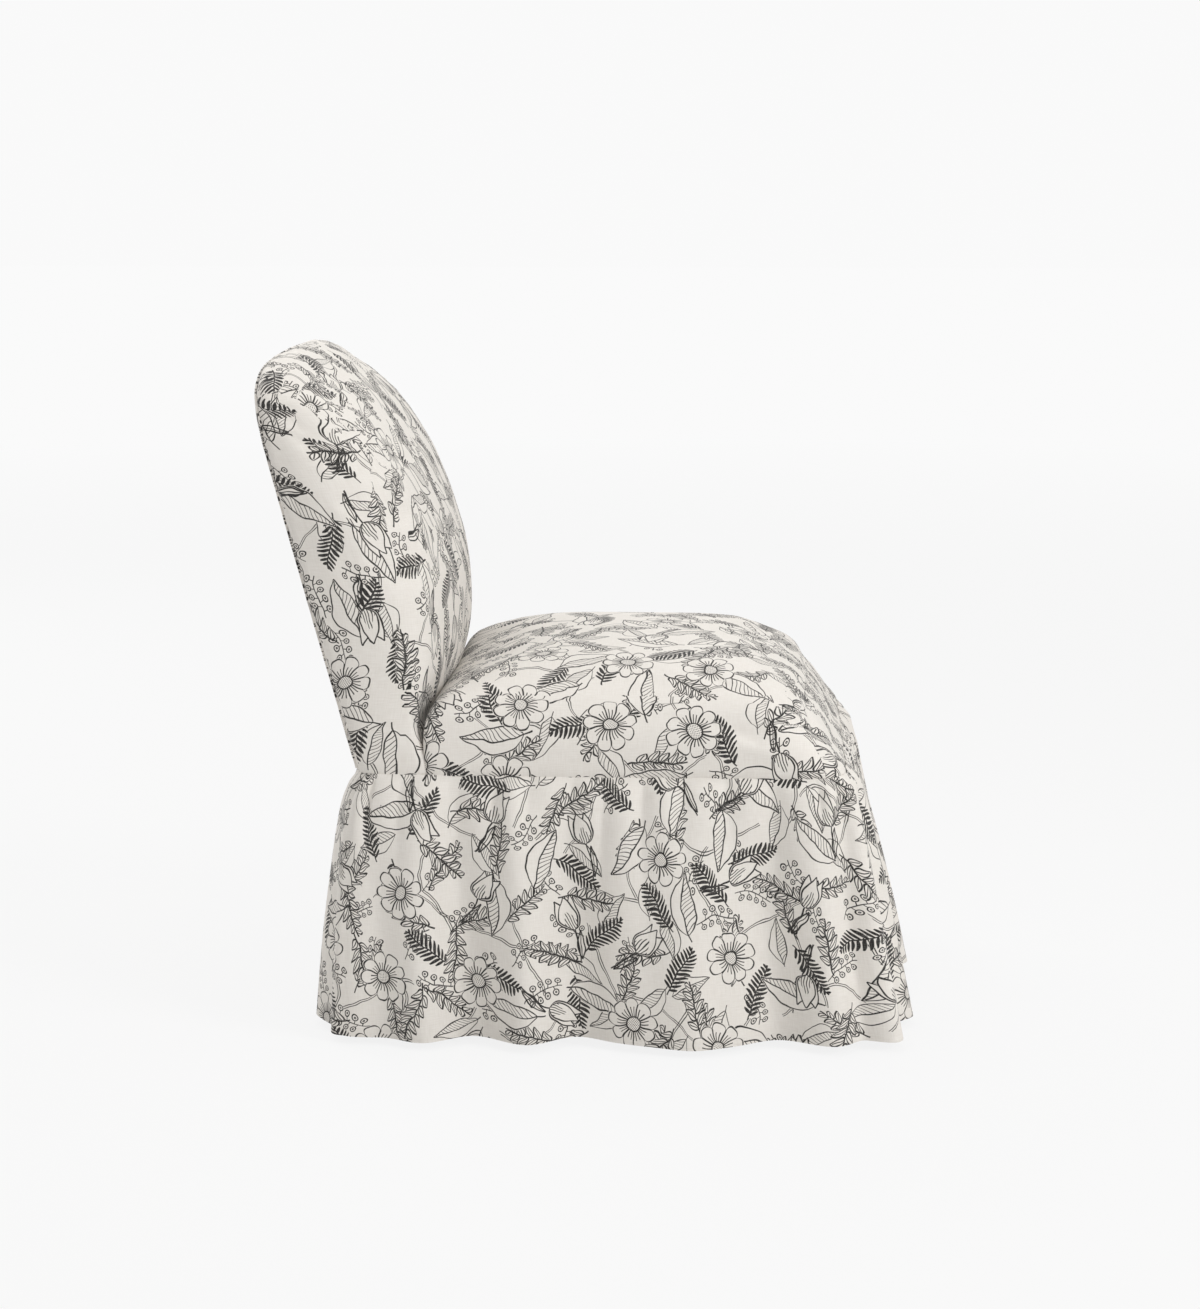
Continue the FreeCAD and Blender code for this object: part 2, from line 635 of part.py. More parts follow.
def upholstery():
    """Foam, wadding and covers of the seat and the back, one inside the other."""
    frame = frame_space(FOAM_LEVEL)
    back_room = back_form(-GAP, 10)
    seat_cover = seat_form(0).cut(seat_form(COVER_IN, 10)).cut(back_room).cut(frame)
    node(shaped("seat_cover", seat_cover), "seat_cover")
    seat_wadding = seat_form(WAD_OUT).cut(seat_form(WAD_IN, 10)).cut(back_room).cut(frame)
    node(shaped("seat_wadding", seat_wadding), "seat_wadding")
    node(shaped("seat_foam", seat_form(FOAM_OUT).cut(back_room).cut(below(FOAM_LEVEL))), "seat_foam")
    back_shell = back_form(0).cut(back_form(COVER_IN, 10)).cut(frame)
    rear_sheet = behind(-size("rear_pad") + COVER_IN * 2).common(back_shell)
    rest = back_shell.cut(behind(-size("rear_pad") + COVER_IN * 2 + GAP))
    node(shaped("outside_back_panel", biggest(rear_sheet)), "outside_back_panel")
    node(shaped("inside_back_cover", biggest(rest)), "inside_back_cover")
    back_wadding = back_form(WAD_OUT).cut(back_form(WAD_IN, 10)).cut(frame)
    node(shaped("back_wadding", biggest(back_wadding)), "back_wadding")
    foam = back_form(FOAM_OUT).cut(behind(STRAPS_DEPTH)).cut(below(FOAM_LEVEL))
    node(shaped("back_foam", biggest(foam)), "back_foam")


def biggest(shape):
    return max(shape.Solids, key=lambda solid: solid.Volume)


CROSS_STRAPS = 4


def back_webbing():
    """Cross straps over the stiles' fronts, and upright straps over the rails and cross straps."""
    length = size(TOP_RAIL)
    crosses, uprights = [], []
    face = "(-stile_depth - fit_gap)"
    start = size("lumbar_start + lumbar_height + cross_gap")
    step = (length - start) / CROSS_STRAPS
    for number in range(CROSS_STRAPS):
        z = start + number * step
        span = (f"-{POST_OUT}", POST_OUT)
        crosses.append(raked_box("cross", span, (f"{face} - strap_thick", face), (z, f"{z} + strap_width")))
    front = f"({face} - strap_thick - fit_gap)"
    for number in (-1, 0, 1):
        x = f"{number} * strap_step"
        across = (f"{x} - strap_width / 2", f"{x} + strap_width / 2")
        along = ("lumbar_start + strap_inset", f"{TOP_RAIL} + top_rail_height - strap_inset")
        uprights.append(raked_box("upright", across, (f"{front} - strap_thick", front), along))
    node(group("back_cross_straps", crosses), "back_cross_straps")
    node(group("back_upright_straps", uprights), "back_upright_straps")
    board = raked_box(
        "board",
        (f"board_inset - {POST_OUT}", f"{POST_OUT} - board_inset"),
        ("fit_gap / 3", "fit_gap / 3 + board_thick"),
        ("fit_gap", f"({POST_TOP} - seam_level) / {COS}"),
    )
    node(board, "back_stiffener_board")


STAY_SHARES = (0.32, 0.65)


def springs():
    """Sinuous springs from rail to rail, each one wire, with their clips, stay wires and deck."""
    start = size(f"-{FRONT} + rail_thick / 2")
    end = size(f"{REAR} - rail_thick / 2")
    runs = 2 * round((end - start) / size("spring_pitch") / 2)
    pitch = (end - start) / runs
    radius = pitch / 2
    reach = size("spring_width") / 2 - radius
    wire = size("wire_dia") / 2
    spots = [(number - 2) * size("spring_step") for number in range(5)]
    for number, x in enumerate(spots, start=1):
        path = []
        for run in range(runs + 1):
            way = 1 if run % 2 == 0 else -1
            y = start + run * pitch
            left, right = Vector(x - way * reach, y, WIRE_LEVEL), Vector(x + way * reach, y, WIRE_LEVEL)
            path.append(Part.LineSegment(left, right))
            if run < runs:
                path.extend(half_turn(x + way * reach, y, radius, way))
        line = Part.Wire([piece.toShape() for piece in path])
        profile = Part.Wire(Part.makeCircle(wire, Vector(x - reach, start, WIRE_LEVEL), Vector(1, 0, 0)))
        spring = line.makePipeShell([profile], True, False)
        node(shaped(f"seat_spring_{number}", spring), f"seat_spring_{number}")
    for name, y in (("front", start), ("rear", end)):
        blocks, bores = [], []
        for x in spots:
            across = (f"{x} - clip_width / 2", f"{x} + clip_width / 2")
            along = (f"{y} - clip_length / 2", f"{y} + clip_length / 2")
            blocks.append(box("clip", across, along, (RAIL_TOP, f"{RAIL_TOP} + clip_height")))
            bore_start = f"{x} - clip_width / 2 - 1"
            bore_dia = "wire_dia + 2 * fit_gap"
            bores.append(rod("bore", "x", bore_dia, "clip_width + 2", bore_start, y, WIRE_LEVEL))
        waste = group(f"clip_bores_{name}", bores)
        made = cut(f"clips_{name}", group(f"clip_blocks_{name}", blocks), waste)
        node(made, f"spring_clips_{name}")
    below = WIRE_LEVEL - wire - GAP / 2 - size("stay_dia") / 2
    length = 2 * (spots[-1] + size("spring_width / 2 + stay_reach"))
    stays = []
    for share in STAY_SHARES:
        y = start + share * (end - start)
        stays.append(rod("stay", "x", "stay_dia", length, -length / 2, y, below))
    node(group("stay_wires", stays), "stay_wires")
    thick = size("deck_thick")
    half, rear = size(f"{HALF} - deck_inset"), size(f"{REAR} - deck_inset")
    front = size(f"deck_inset - {FRONT}")
    deck = plate(DECK_LEVEL, thick, half, front, rear, size("front_corner - side_pad"), 8)
    for side in SIDES.values():
        near = size(f"{POST_IN} - 2 * fit_gap")
        x = near if side > 0 else -near - 2 * size("leg_size")
        corner = Vector(x, size(POST_FRONT) - 2 * GAP, DECK_LEVEL - 5)
        deck = deck.cut(Part.makeBox(2 * size("leg_size"), 2 * size("leg_size"), thick + 10, corner))
    node(shaped("spring_deck", deck), "spring_deck")


def half_turn(x, y, radius, way):
    """Two quarter arcs that turn the wire back beside itself."""
    middle = Vector(x + way * radius, y + radius, WIRE_LEVEL)
    share = radius * math.sqrt(0.5)
    first = Vector(x + way * share, y + radius - share, WIRE_LEVEL)
    second = Vector(x + way * share, y + radius + share, WIRE_LEVEL)
    return [
        Part.Arc(Vector(x, y, WIRE_LEVEL), first, middle),
        Part.Arc(middle, second, Vector(x, y + 2 * radius, WIRE_LEVEL)),
    ]


def staple_spots(start, end):
    """Even places for staples between two legs."""
    first, last = start + size("staple_start"), end - size("staple_start")
    steps = round((last - first) / size("staple_pitch"))
    return [first + (last - first) * number / steps for number in range(steps + 1)]


def under_frame():
    """Dust cover with its staples under the rails, and the tack strip below the waist seam."""
    bottom = size(RAIL_BOTTOM)
    thick = size("dust_thick")
    half, rear = size(f"{HALF} - dust_inset"), size(f"{REAR} - dust_inset")
    front = size(f"dust_inset - {FRONT}")
    sheet_shape = plate(bottom - GAP / 3 - thick, thick, half, front, rear, 20, 12)
    notch = size("leg_size") + 1
    for side in SIDES.values():
        for y in (-size(FRONT) - 1, size(POST_FRONT) - 1):
            inner = size(HALF) - notch if y < 0 else size(POST_IN) - 1
            x = inner if side > 0 else -inner - 2 * notch
            sheet_shape = sheet_shape.cut(Part.makeBox(2 * notch, notch + 4, 20, Vector(x, y, bottom - 12)))
    node(shaped("dust_cover", sheet_shape), "dust_cover")
    staples = []
    wire, crown, inset = size("staple_wire"), size("staple_crown"), size("staple_inset")
    level = bottom - GAP / 3 - thick - wire
    for x in staple_spots(-size(LEG_IN), size(LEG_IN)):
        for y in (-size(FRONT) + inset, size(REAR) - inset - wire):
            span = (x - crown / 2, x + crown / 2)
            staples.append(box("staple", span, (y, y + wire), (level, level + wire)))
    for y in staple_spots(size(LEG_BACK), size(POST_FRONT)):
        for side in SIDES.values():
            x = side * (size(HALF) - inset)
            span = (y - crown / 2, y + crown / 2)
            staples.append(box("staple", (x - wire / 2, x + wire / 2), span, (level, level + wire)))
    node(group("dust_cover_staples", staples), "dust_cover_staples")
    top = size("seam_level - strip_drop")
    height = size("strip_height")
    half, front, rear = size("cover_half_width"), -size("cover_front"), size("cover_rear")
    rings = []
    for spread in (2.6 * GAP + size("strip_thick"), 2.6 * GAP):
        corners = (size("front_corner") + spread, size("rear_corner") + spread)
        out = section(top - height, half + spread, front - spread, rear + spread, *corners, SEAT_BOW)
        rings.append(Part.Face(out).extrude(Vector(0, 0, height)))
    node(shaped("skirt_tack_strip", rings[0].cut(rings[1])), "skirt_tack_strip")


SKIRT_FOLDS = {"front": 3, "rear": 3, "side": 4}


def skirt_line(z, half, front, rear, corner_front, corner_rear, wave, inset):
    """The skirt's line at a level, as four lists of arcs, one for each panel.

    The folds are arcs that bulge out and in by turns, their ends on the plan outline's middle.
    """
    half, front, rear = half - inset, front + inset, rear - inset
    rf, rr = corner_front - inset, corner_rear - inset
    corners = [
        (half, front, rf, 1, -1),
        (half, rear, rr, 1, 1),
        (-half, rear, rr, -1, 1),
        (-half, front, rf, -1, -1),
    ]
    panels = {}
    order = [("front", 3, 0), ("left", 0, 1), ("rear", 1, 2), ("right", 2, 3)]
    for name, start, end in order:
        track = panel_track(corners[start], corners[end])
        folds = SKIRT_FOLDS.get(name, SKIRT_FOLDS["side"])
        count = 2 * folds + 1
        arcs = []
        for number in range(count):
            points = []
            for share in (0, 0.5, 1):
                x, y, nx, ny = track((number + share) / count)
                push = wave * (1 if number % 2 == 0 else -1) if share == 0.5 else 0
                points.append(Vector(x + nx * push, y + ny * push, z))
            arcs.append(Part.Arc(*points).toShape())
        panels[name] = arcs
    return panels


def panel_track(first, last):
    """Points and outward directions along a panel, from the middle of one corner to the next."""
    (x0, y0, r0, sx0, sy0), (x1, y1, r1, sx1, sy1) = first, last
    centre0 = (x0 - sx0 * r0, y0 - sy0 * r0)
    centre1 = (x1 - sx1 * r1, y1 - sy1 * r1)
    out = ((sx0 + sx1) / 2, (sy0 + sy1) / 2)
    angle = math.atan2(out[1], out[0])
    straight = math.hypot(centre1[0] - centre0[0], centre1[1] - centre0[1])
    turn0, turn1 = r0 * math.pi / 4, r1 * math.pi / 4
    total = turn0 + straight + turn1

    def track(share):
        along = share * total
        if along < turn0:
            at = angle - (1 - along / turn0) * math.pi / 4
            way = (math.cos(at), math.sin(at))
            return centre0[0] + way[0] * r0, centre0[1] + way[1] * r0, *way
        if along > turn0 + straight:
            at = angle + (along - turn0 - straight) / turn1 * math.pi / 4
            way = (math.cos(at), math.sin(at))
            return centre1[0] + way[0] * r1, centre1[1] + way[1] * r1, *way
        part = (along - turn0) / straight
        x = centre0[0] + (centre1[0] - centre0[0]) * part + out[0] * r0
        y = centre0[1] + (centre1[1] - centre0[1]) * part + out[1] * r0
        x += out[0] * (r1 - r0) * part
        y += out[1] * (r1 - r0) * part
        return x, y, *out

    return track


def skirt():
    """Four gathered panels that meet at the corners, ruled from the seam to the hip to the hem."""
    seam = size("seam_level") - 2
    thick = size("skirt_thick")
    gather, fold = size("skirt_gather"), size("skirt_fold")
    half, front, rear = size("cover_half_width"), -size("cover_front"), size("cover_rear")
    top = gather + thick + 3.2 * GAP + size("strip_thick") + max(SEAT_BOW)
    spread = size("hip_spread") + top
    rf, rr = size("front_corner"), size("rear_corner")
    hem_half, hem_front = size("skirt_half_width") - fold, -size("skirt_front") + fold
    hem_rear, hem_corner = size("skirt_rear") - fold, size("skirt_corner") - fold
    hip_wave = (gather + fold) / 3
    hip = seam - size("hip_drop")
    levels = [
        (seam, half + top, front - top, rear + top, rf + top, rr + top, gather),
        (hip, half + spread, front - spread, rear + spread, rf + spread, rr + spread, hip_wave),
        (size("skirt_clearance"), hem_half, hem_front, hem_rear, hem_corner, hem_corner, fold),
    ]
    outers = [skirt_line(*level, 0) for level in levels]
    inners = [skirt_line(*level, thick) for level in levels]
    for name in ("front", "left", "rear", "right"):
        wires = []
        for outer, inner in zip(outers, inners):
            out, back = outer[name], inner[name]
            start = Part.makeLine(back[0].Vertexes[0].Point, out[0].Vertexes[0].Point)
            end = Part.makeLine(out[-1].Vertexes[-1].Point, back[-1].Vertexes[-1].Point)
            wires.append(Part.Wire(out + [end] + back[::-1] + [start]))
        node(shaped(f"skirt_{name}", Part.makeLoft(wires, True, True)), f"skirt_{name}")


back_webbing()
springs()
under_frame()
upholstery()
skirt()
doc.recompute()

for thing in doc.Objects:
    faults = {"Invalid", "Error"} & set(thing.State)
    if faults:
        raise RuntimeError(f"{thing.Name} ({thing.Label}) is {faults}")
for thing in nodes:
    if thing.Shape.isNull() or not thing.Shape.isValid() or not thing.Shape.Solids:
        raise RuntimeError(f"{thing.Label} has no valid solid")

os.makedirs("parts", exist_ok=True)
for thing in nodes:
    thing.Shape.exportStep(os.path.join("parts", thing.Label + ".step"))
    box_size = thing.Shape.BoundBox
    print(f"{thing.Label}: {len(thing.Shape.Solids)} solids, {thing.Shape.Volume / 1000:.1f} cm3, "
          f"{box_size.XLength:.1f} x {box_size.YLength:.1f} x {box_size.ZLength:.1f} mm")
print(f"{len(nodes)} nodes")
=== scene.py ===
# %% [markdown]
# A skirted slipper chair: an upholstered seat and back and a gathered skirt, in a linen with a
# black botanical line print. The frame, springs and webbing come from the CAD model. Blender
# makes the soft outside: the padded seat and back, the outside back and the skirt.

# %% load the frame
import math
import random
from functools import partialmethod

import bpy
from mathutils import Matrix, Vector


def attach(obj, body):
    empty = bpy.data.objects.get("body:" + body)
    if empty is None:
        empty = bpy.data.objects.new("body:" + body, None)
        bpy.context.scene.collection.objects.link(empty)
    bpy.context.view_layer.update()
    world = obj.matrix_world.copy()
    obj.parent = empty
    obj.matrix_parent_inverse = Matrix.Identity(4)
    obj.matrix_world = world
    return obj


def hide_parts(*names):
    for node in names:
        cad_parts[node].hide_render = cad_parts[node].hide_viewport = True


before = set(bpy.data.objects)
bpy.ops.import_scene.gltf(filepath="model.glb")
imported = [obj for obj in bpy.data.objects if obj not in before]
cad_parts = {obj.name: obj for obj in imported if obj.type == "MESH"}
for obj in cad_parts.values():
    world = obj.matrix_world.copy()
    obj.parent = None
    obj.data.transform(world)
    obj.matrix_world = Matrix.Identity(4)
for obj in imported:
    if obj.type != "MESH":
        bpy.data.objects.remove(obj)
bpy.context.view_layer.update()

# %% [markdown]
# The camera stands where the photographer stood: square to the chair's right side, a touch
# towards its front and a little above the seat. A long lens keeps the sides parallel.

# %% camera
CAMERA_AZIMUTH = math.radians(-87)
CAMERA_ELEVATION = math.radians(10)
CAMERA_DISTANCE = 4.0
CAMERA_TARGET = Vector((0, -0.001, 0.445))
FOCAL_PX = 3033
FRAME_LONG_PX = 1309


def add_camera():
    away = Vector((
        math.sin(CAMERA_AZIMUTH) * math.cos(CAMERA_ELEVATION),
        -math.cos(CAMERA_AZIMUTH) * math.cos(CAMERA_ELEVATION),
        math.sin(CAMERA_ELEVATION),
    ))
    data = bpy.data.cameras.new("photo_camera")
    data.sensor_width = 36
    data.lens = 36 * FOCAL_PX / FRAME_LONG_PX
    data.clip_end = 50
    camera = bpy.data.objects.new("photo_camera", data)
    bpy.context.collection.objects.link(camera)
    camera.location = CAMERA_TARGET + away * CAMERA_DISTANCE
    camera.rotation_euler = (-away).to_track_quat("-Z", "Y").to_euler()
    bpy.context.scene.camera = camera
    return camera


camera = add_camera()
print("camera at", [round(value, 3) for value in camera.location])

# %% [markdown]
# The cloth's print is a line drawing, screen-printed in black. It could be a picture, but here
# shader nodes draw it, so it stays sharp from near by. A small helper wires the nodes, so that
# each motif reads as a formula. All lengths inside the print are millimetres. The studio's and
# the other materials use the helper too.

# %% formula helper
PEN = 0.95
FINE_PEN = 0.6
PEN_EDGE = 0.22


class Net:
    """Wires the nodes of one tree."""

    def __init__(self, tree):
        self.tree = tree

    def feed(self, socket, value):
        if isinstance(value, bpy.types.NodeSocket):
            self.tree.links.new(value, socket)
        else:
            socket.default_value = value

    def node(self, kind, settings=(), *values, **named):
        """A new node's outputs. Its inputs are fed by their place or by their name."""
        made = self.tree.nodes.new("ShaderNode" + kind)
        for name, value in settings:
            setattr(made, name, value)
        for socket, value in zip(made.inputs, values):
            self.feed(socket, value)
        for name, value in named.items():
            self.feed(made.inputs[name.replace("_", " ")], value)
        return made.outputs

    def calc(self, operation, *values):
        return self.node("Math", [("operation", operation)], *values)[0]

    add = partialmethod(calc, "ADD")
    sub = partialmethod(calc, "SUBTRACT")
    mul = partialmethod(calc, "MULTIPLY")
    div = partialmethod(calc, "DIVIDE")
    low = partialmethod(calc, "MINIMUM")
    high = partialmethod(calc, "MAXIMUM")
    size = partialmethod(calc, "ABSOLUTE")
    sine = partialmethod(calc, "SINE")
    less = partialmethod(calc, "LESS_THAN")
    more = partialmethod(calc, "GREATER_THAN")
    power = partialmethod(calc, "POWER")
    muladd = partialmethod(calc, "MULTIPLY_ADD")
    inverse = partialmethod(calc, "SUBTRACT", 1.0)

    def between(self, a, lowest, highest):
        return self.mul(self.more(a, lowest), self.less(a, highest))

    def held(self, a):
        """A value kept between 0 and 1."""
        return self.low(self.high(a, 0.0), 1.0)

    def length(self, x, y):
        return self.calc("SQRT", self.add(self.mul(x, x), self.mul(y, y)))

    def off_stripe(self, a, pitch):
        """How far a value is from the nearest stripe of an even row."""
        share = self.calc("FRACT", self.div(a, pitch))
        return self.mul(self.size(self.sub(share, 0.5)), pitch)

    def bulge(self, share, fullness, width):
        """Half the width of a leaf or petal at a share of its length."""
        arc = self.mul(self.power(self.held(share), fullness), math.pi)
        return self.mul(self.sine(arc), width)

    def tilted(self, x, y, angle):
        """Both coordinates, turned by a fixed angle."""
        across = self.sub(self.mul(x, math.cos(angle)), self.mul(y, math.sin(angle)))
        return across, self.add(self.mul(x, math.sin(angle)), self.mul(y, math.cos(angle)))

    def pen(self, distance, half_width):
        """1 on a pen line, 0 off it, with a soft edge."""
        ends = {"From_Min": half_width + PEN_EDGE, "From_Max": max(half_width - PEN_EDGE, 0.0)}
        return self.node("MapRange", Value=distance, **ends)["Result"]

    def parts(self, vector):
        return list(self.node("SeparateXYZ", Vector=vector))

    def vector(self, x, y, z=0.0):
        return self.node("CombineXYZ", X=x, Y=y, Z=z)[0]

    def turn(self, vector, angle):
        return self.node("VectorRotate", [("rotation_type", "Z_AXIS")], Vector=vector, Angle=angle)[0]

    def vec(self, operation, *values):
        outputs = self.node("VectorMath", [("operation", operation)], *values)
        return outputs["Value" if operation == "LENGTH" else "Vector"]

    def noise(self, vector, scale, detail, dimensions="2D"):
        """A noise texture's value and colour."""
        settings = [("noise_dimensions", dimensions)]
        return self.node("TexNoise", settings, Vector=vector, Scale=scale, Detail=detail)

    def mix(self, share, first, second):
        """A number between two numbers."""
        return self.node("Mix", Factor=share, A=first, B=second)[0]

    def show(self, end, share, first, second):
        """Mixes two shaders into an output node."""
        self.node(end, Surface=self.node("MixShader", (), share, first, second)[0])

    def place(self, group, **values):
        return self.node("Group", [("node_tree", group)], **values)


def new_group(name, inputs, outputs):
    """An empty node group with named sockets, its Net, and its input and output nodes."""
    group = bpy.data.node_groups.new(name, "ShaderNodeTree")
    for words, kind in inputs:
        group.interface.new_socket(name=words, in_out="INPUT", socket_type=kind)
    for words, kind in outputs:
        group.interface.new_socket(name=words, in_out="OUTPUT", socket_type=kind)
    start = group.nodes.new("NodeGroupInput")
    end = group.nodes.new("NodeGroupOutput")
    return group, Net(group), start.outputs, end.inputs


def motif(name):
    """A motif's group, its Net, its own two coordinates and its output sockets."""
    inputs = [("Vector", "NodeSocketVector"), ("Size", "NodeSocketFloat")]
    outputs = [("Ink", "NodeSocketFloat"), ("Body", "NodeSocketFloat")]
    group, net, given, out = new_group(name, inputs, outputs)
    size = given["Size"]
    x, y, _ = net.parts(net.vec("DIVIDE", given["Vector"], net.vector(size, size, 1)))
    return group, net, x, y, out


print("pen lines", 2 * PEN, "mm and", 2 * FINE_PEN, "mm wide")

# %% [markdown]
# A plain studio: a white floor that shows the chair's soft shadow, a white world for the camera,
# and four large lamps. A real backdrop curves up behind the object. Here the floor glows like the
# world instead, and more so far away, which hides its edge. The lamps stay moderate, so that the
# cloth renders about as light as its colour is written.

# %% studio
BACKDROP = 0.95
WORLD_STRENGTH = 0.42
FLOOR_GLOW = 0.955
FLOOR_SIZE = 40
GLOW_NEAR, GLOW_FAR, GLOW_SHARE = 1.5, 7.0, 0.9
WORLD_COLOUR = (1.0, 0.99, 0.97, 1)
PAPER = (0.8, 0.8, 0.8, 1)
LAMP_AIM = Vector((0, 0, 0.4))
LAMPS = [
    ("key", (-2.0, -3.0, 2.3), 1.5, 82),
    ("top", (0.2, 0.2, 3.0), 2.4, 28),
    ("fill", (-2.6, 2.0, 1.5), 2.0, 14),
    ("rear", (2.4, 2.4, 2.2), 2.2, 46),
]


def world_light():
    """White for the camera and for mirror-like rays, and a moderate light for all else."""
    world = bpy.data.worlds.new("studio")
    world.use_nodes = True
    net = Net(world.node_tree)
    net.tree.nodes.clear()
    ray = net.node("LightPath")
    seen = net.node("Background", Color=(BACKDROP, BACKDROP, BACKDROP, 1))[0]
    lit = net.node("Background", Color=WORLD_COLOUR, Strength=WORLD_STRENGTH)[0]
    net.show("OutputWorld", net.high(ray["Is Camera Ray"], ray["Is Glossy Ray"]), lit, seen)
    bpy.context.scene.world = world


def area_lamp(name, place, size, watts):
    data = bpy.data.lights.new(name, "AREA")
    data.size = size
    data.energy = watts
    lamp = bpy.data.objects.new(name, data)
    bpy.context.collection.objects.link(lamp)
    lamp.location = place
    lamp.rotation_euler = (LAMP_AIM - Vector(place)).to_track_quat("-Z", "Y").to_euler()


def floor_material():
    """Paper that takes shadows, with a glow for the camera that grows with the distance."""
    made = bpy.data.materials.new("studio_floor")
    made.use_nodes = True
    net = Net(made.node_tree)
    net.tree.nodes.clear()
    away = net.vec("LENGTH", net.node("TexCoord")["Object"])
    ends = {"From_Min": GLOW_NEAR, "From_Max": GLOW_FAR, "To_Min": GLOW_SHARE}
    share = net.mul(net.node("LightPath")["Is Camera Ray"], net.node("MapRange", Value=away, **ends)[0])
    paper = net.node("BsdfDiffuse", Color=PAPER)[0]
    glow = net.node("Emission", Color=(FLOOR_GLOW, FLOOR_GLOW, FLOOR_GLOW, 1))[0]
    net.show("OutputMaterial", share, paper, glow)
    return made


def add_floor():
    bpy.ops.object.select_all(action="DESELECT")
    bpy.ops.mesh.primitive_plane_add(size=FLOOR_SIZE, location=(0, 0, 0))
    floor = bpy.context.object
    floor.name = "studio_floor"
    floor.data.materials.append(floor_material())


world_light()
for lamp in LAMPS:
    area_lamp(*lamp)
add_floor()
bpy.context.scene.view_settings.view_transform = "Standard"
print("lamps", [lamp[0] for lamp in LAMPS])

# %% [markdown]
# Each motif is drawn round its own origin, standing up along Y. It gives two masks: its pen
# lines, and its body, which hides what is drawn behind it. A line is where a distance is small:
# the daisy's rim, for one, is where the distance from its middle is near that of its edge.

# %% daisy and leaf
BODY_MARGIN = 1.6


def daisy_motif(petals=9, radius=33.0, eye=8.5):
    """An open flower: round petals about a dotted eye."""
    group, net, x, y, out = motif("daisy motif")
    r = net.length(x, y)
    turns = net.mul(net.calc("ARCTAN2", y, x), petals / (2 * math.pi))
    side = net.mul(net.size(net.sub(net.calc("FRACT", turns), 0.5)), 2)
    edge = net.muladd(net.power(side, 3.2), -0.26 * radius, radius)
    across = net.mul(net.mul(net.inverse(side), math.pi / petals), r)
    inside = net.between(r, eye, edge)
    rim = net.pen(net.size(net.sub(r, edge)), PEN)
    borders = net.mul(net.pen(across, PEN), inside)
    fold = net.mul(net.mul(net.size(net.sub(side, 0.34)), math.pi / petals), r)
    folds = net.mul(net.pen(fold, FINE_PEN), net.between(r, eye, radius * 0.62))
    eye_rim = net.pen(net.size(net.sub(r, eye)), PEN)
    dots = net.mul(net.sine(net.mul(x, 2.3)), net.sine(net.mul(y, 2.3)))
    dots = net.mul(net.more(dots, 0.42), net.less(r, eye))
    ink = net.high(net.high(rim, borders), net.high(folds, net.high(eye_rim, dots)))
    net.feed(out["Ink"], ink)
    net.feed(out["Body"], net.less(r, net.add(edge, BODY_MARGIN)))
    return group


def leaf_motif(length=80.0, width=17.0):
    """A broad leaf with a bent midrib, veined on one half."""
    group, net, x, y, out = motif("leaf motif")
    bend = net.mul(net.mul(y, y), 0.0042)
    x = net.add(net.sub(x, bend), 2.5)
    share = net.muladd(y, 1 / length, 0.5)
    half = net.bulge(share, 0.78, width)
    away = net.size(x)
    rim = net.mul(net.pen(net.size(net.sub(away, half)), PEN), net.between(share, 0.0, 1.0))
    rib = net.mul(net.pen(away, PEN), net.between(share, -0.12, 0.96))
    veins = net.pen(net.off_stripe(net.sub(y, net.mul(away, 0.95)), 6.4), FINE_PEN)
    veins = net.mul(net.mul(veins, net.less(away, net.sub(half, 1.0))), net.more(x, 0.0))
    net.feed(out["Ink"], net.high(net.high(rim, rib), veins))
    net.feed(out["Body"], net.mul(net.less(away, net.add(half, BODY_MARGIN)), net.between(share, 0.0, 1.0)))
    return group


daisy = daisy_motif()
leaf = leaf_motif()
print("daisy nodes", len(daisy.nodes), "leaf nodes", len(leaf.nodes))

# %% [markdown]
# A sprig repeats one leaflet along its stem. Rounding the place along the stem gives each point
# its nearest leaflet, so one formula draws all of them. Fronds are sprigs with narrow leaflets
# close together, and berries are rings at the ends of such stalks.

# %% sprigs and berries
def sprig_motif(name, step, reach, width, lean, midrib):
    """A stem with leaflets by turns on its two sides."""
    group, net, x, y, out = motif(name)
    x = net.sub(x, net.mul(net.sine(net.mul(y, 0.055)), 4.0))
    away = net.size(x)
    cosine, slope = math.cos(lean), math.tan(lean)
    shifted = net.add(y, net.mul(net.more(x, 0.0), step / 2))
    foot = net.sub(shifted, net.mul(away, slope))
    number = net.calc("ROUND", net.div(foot, step))
    miss = net.mul(net.size(net.sub(foot, net.mul(number, step))), cosine)
    level = net.mul(number, step)
    taper = net.inverse(net.power(net.div(net.size(net.add(level, 6.0)), 46.0), 2.0))
    length = net.mul(net.high(taper, 0.1), reach)
    run = net.div(net.div(away, cosine), length)
    half = net.bulge(run, 0.8, width)
    there = net.mul(net.less(run, 1.0), net.between(level, -33.0, 34.0))
    rim = net.pen(net.size(net.sub(miss, half)), PEN * 0.9)
    rib = net.mul(net.pen(miss, FINE_PEN), net.less(run, midrib))
    leaflets = net.mul(net.high(rim, rib), there)
    stem = net.mul(net.pen(away, PEN), net.between(y, -43.0, 36.0))
    net.feed(out["Ink"], net.high(leaflets, stem))
    net.feed(out["Body"], net.mul(net.less(miss, net.add(half, BODY_MARGIN * 0.7)), there))
    return group


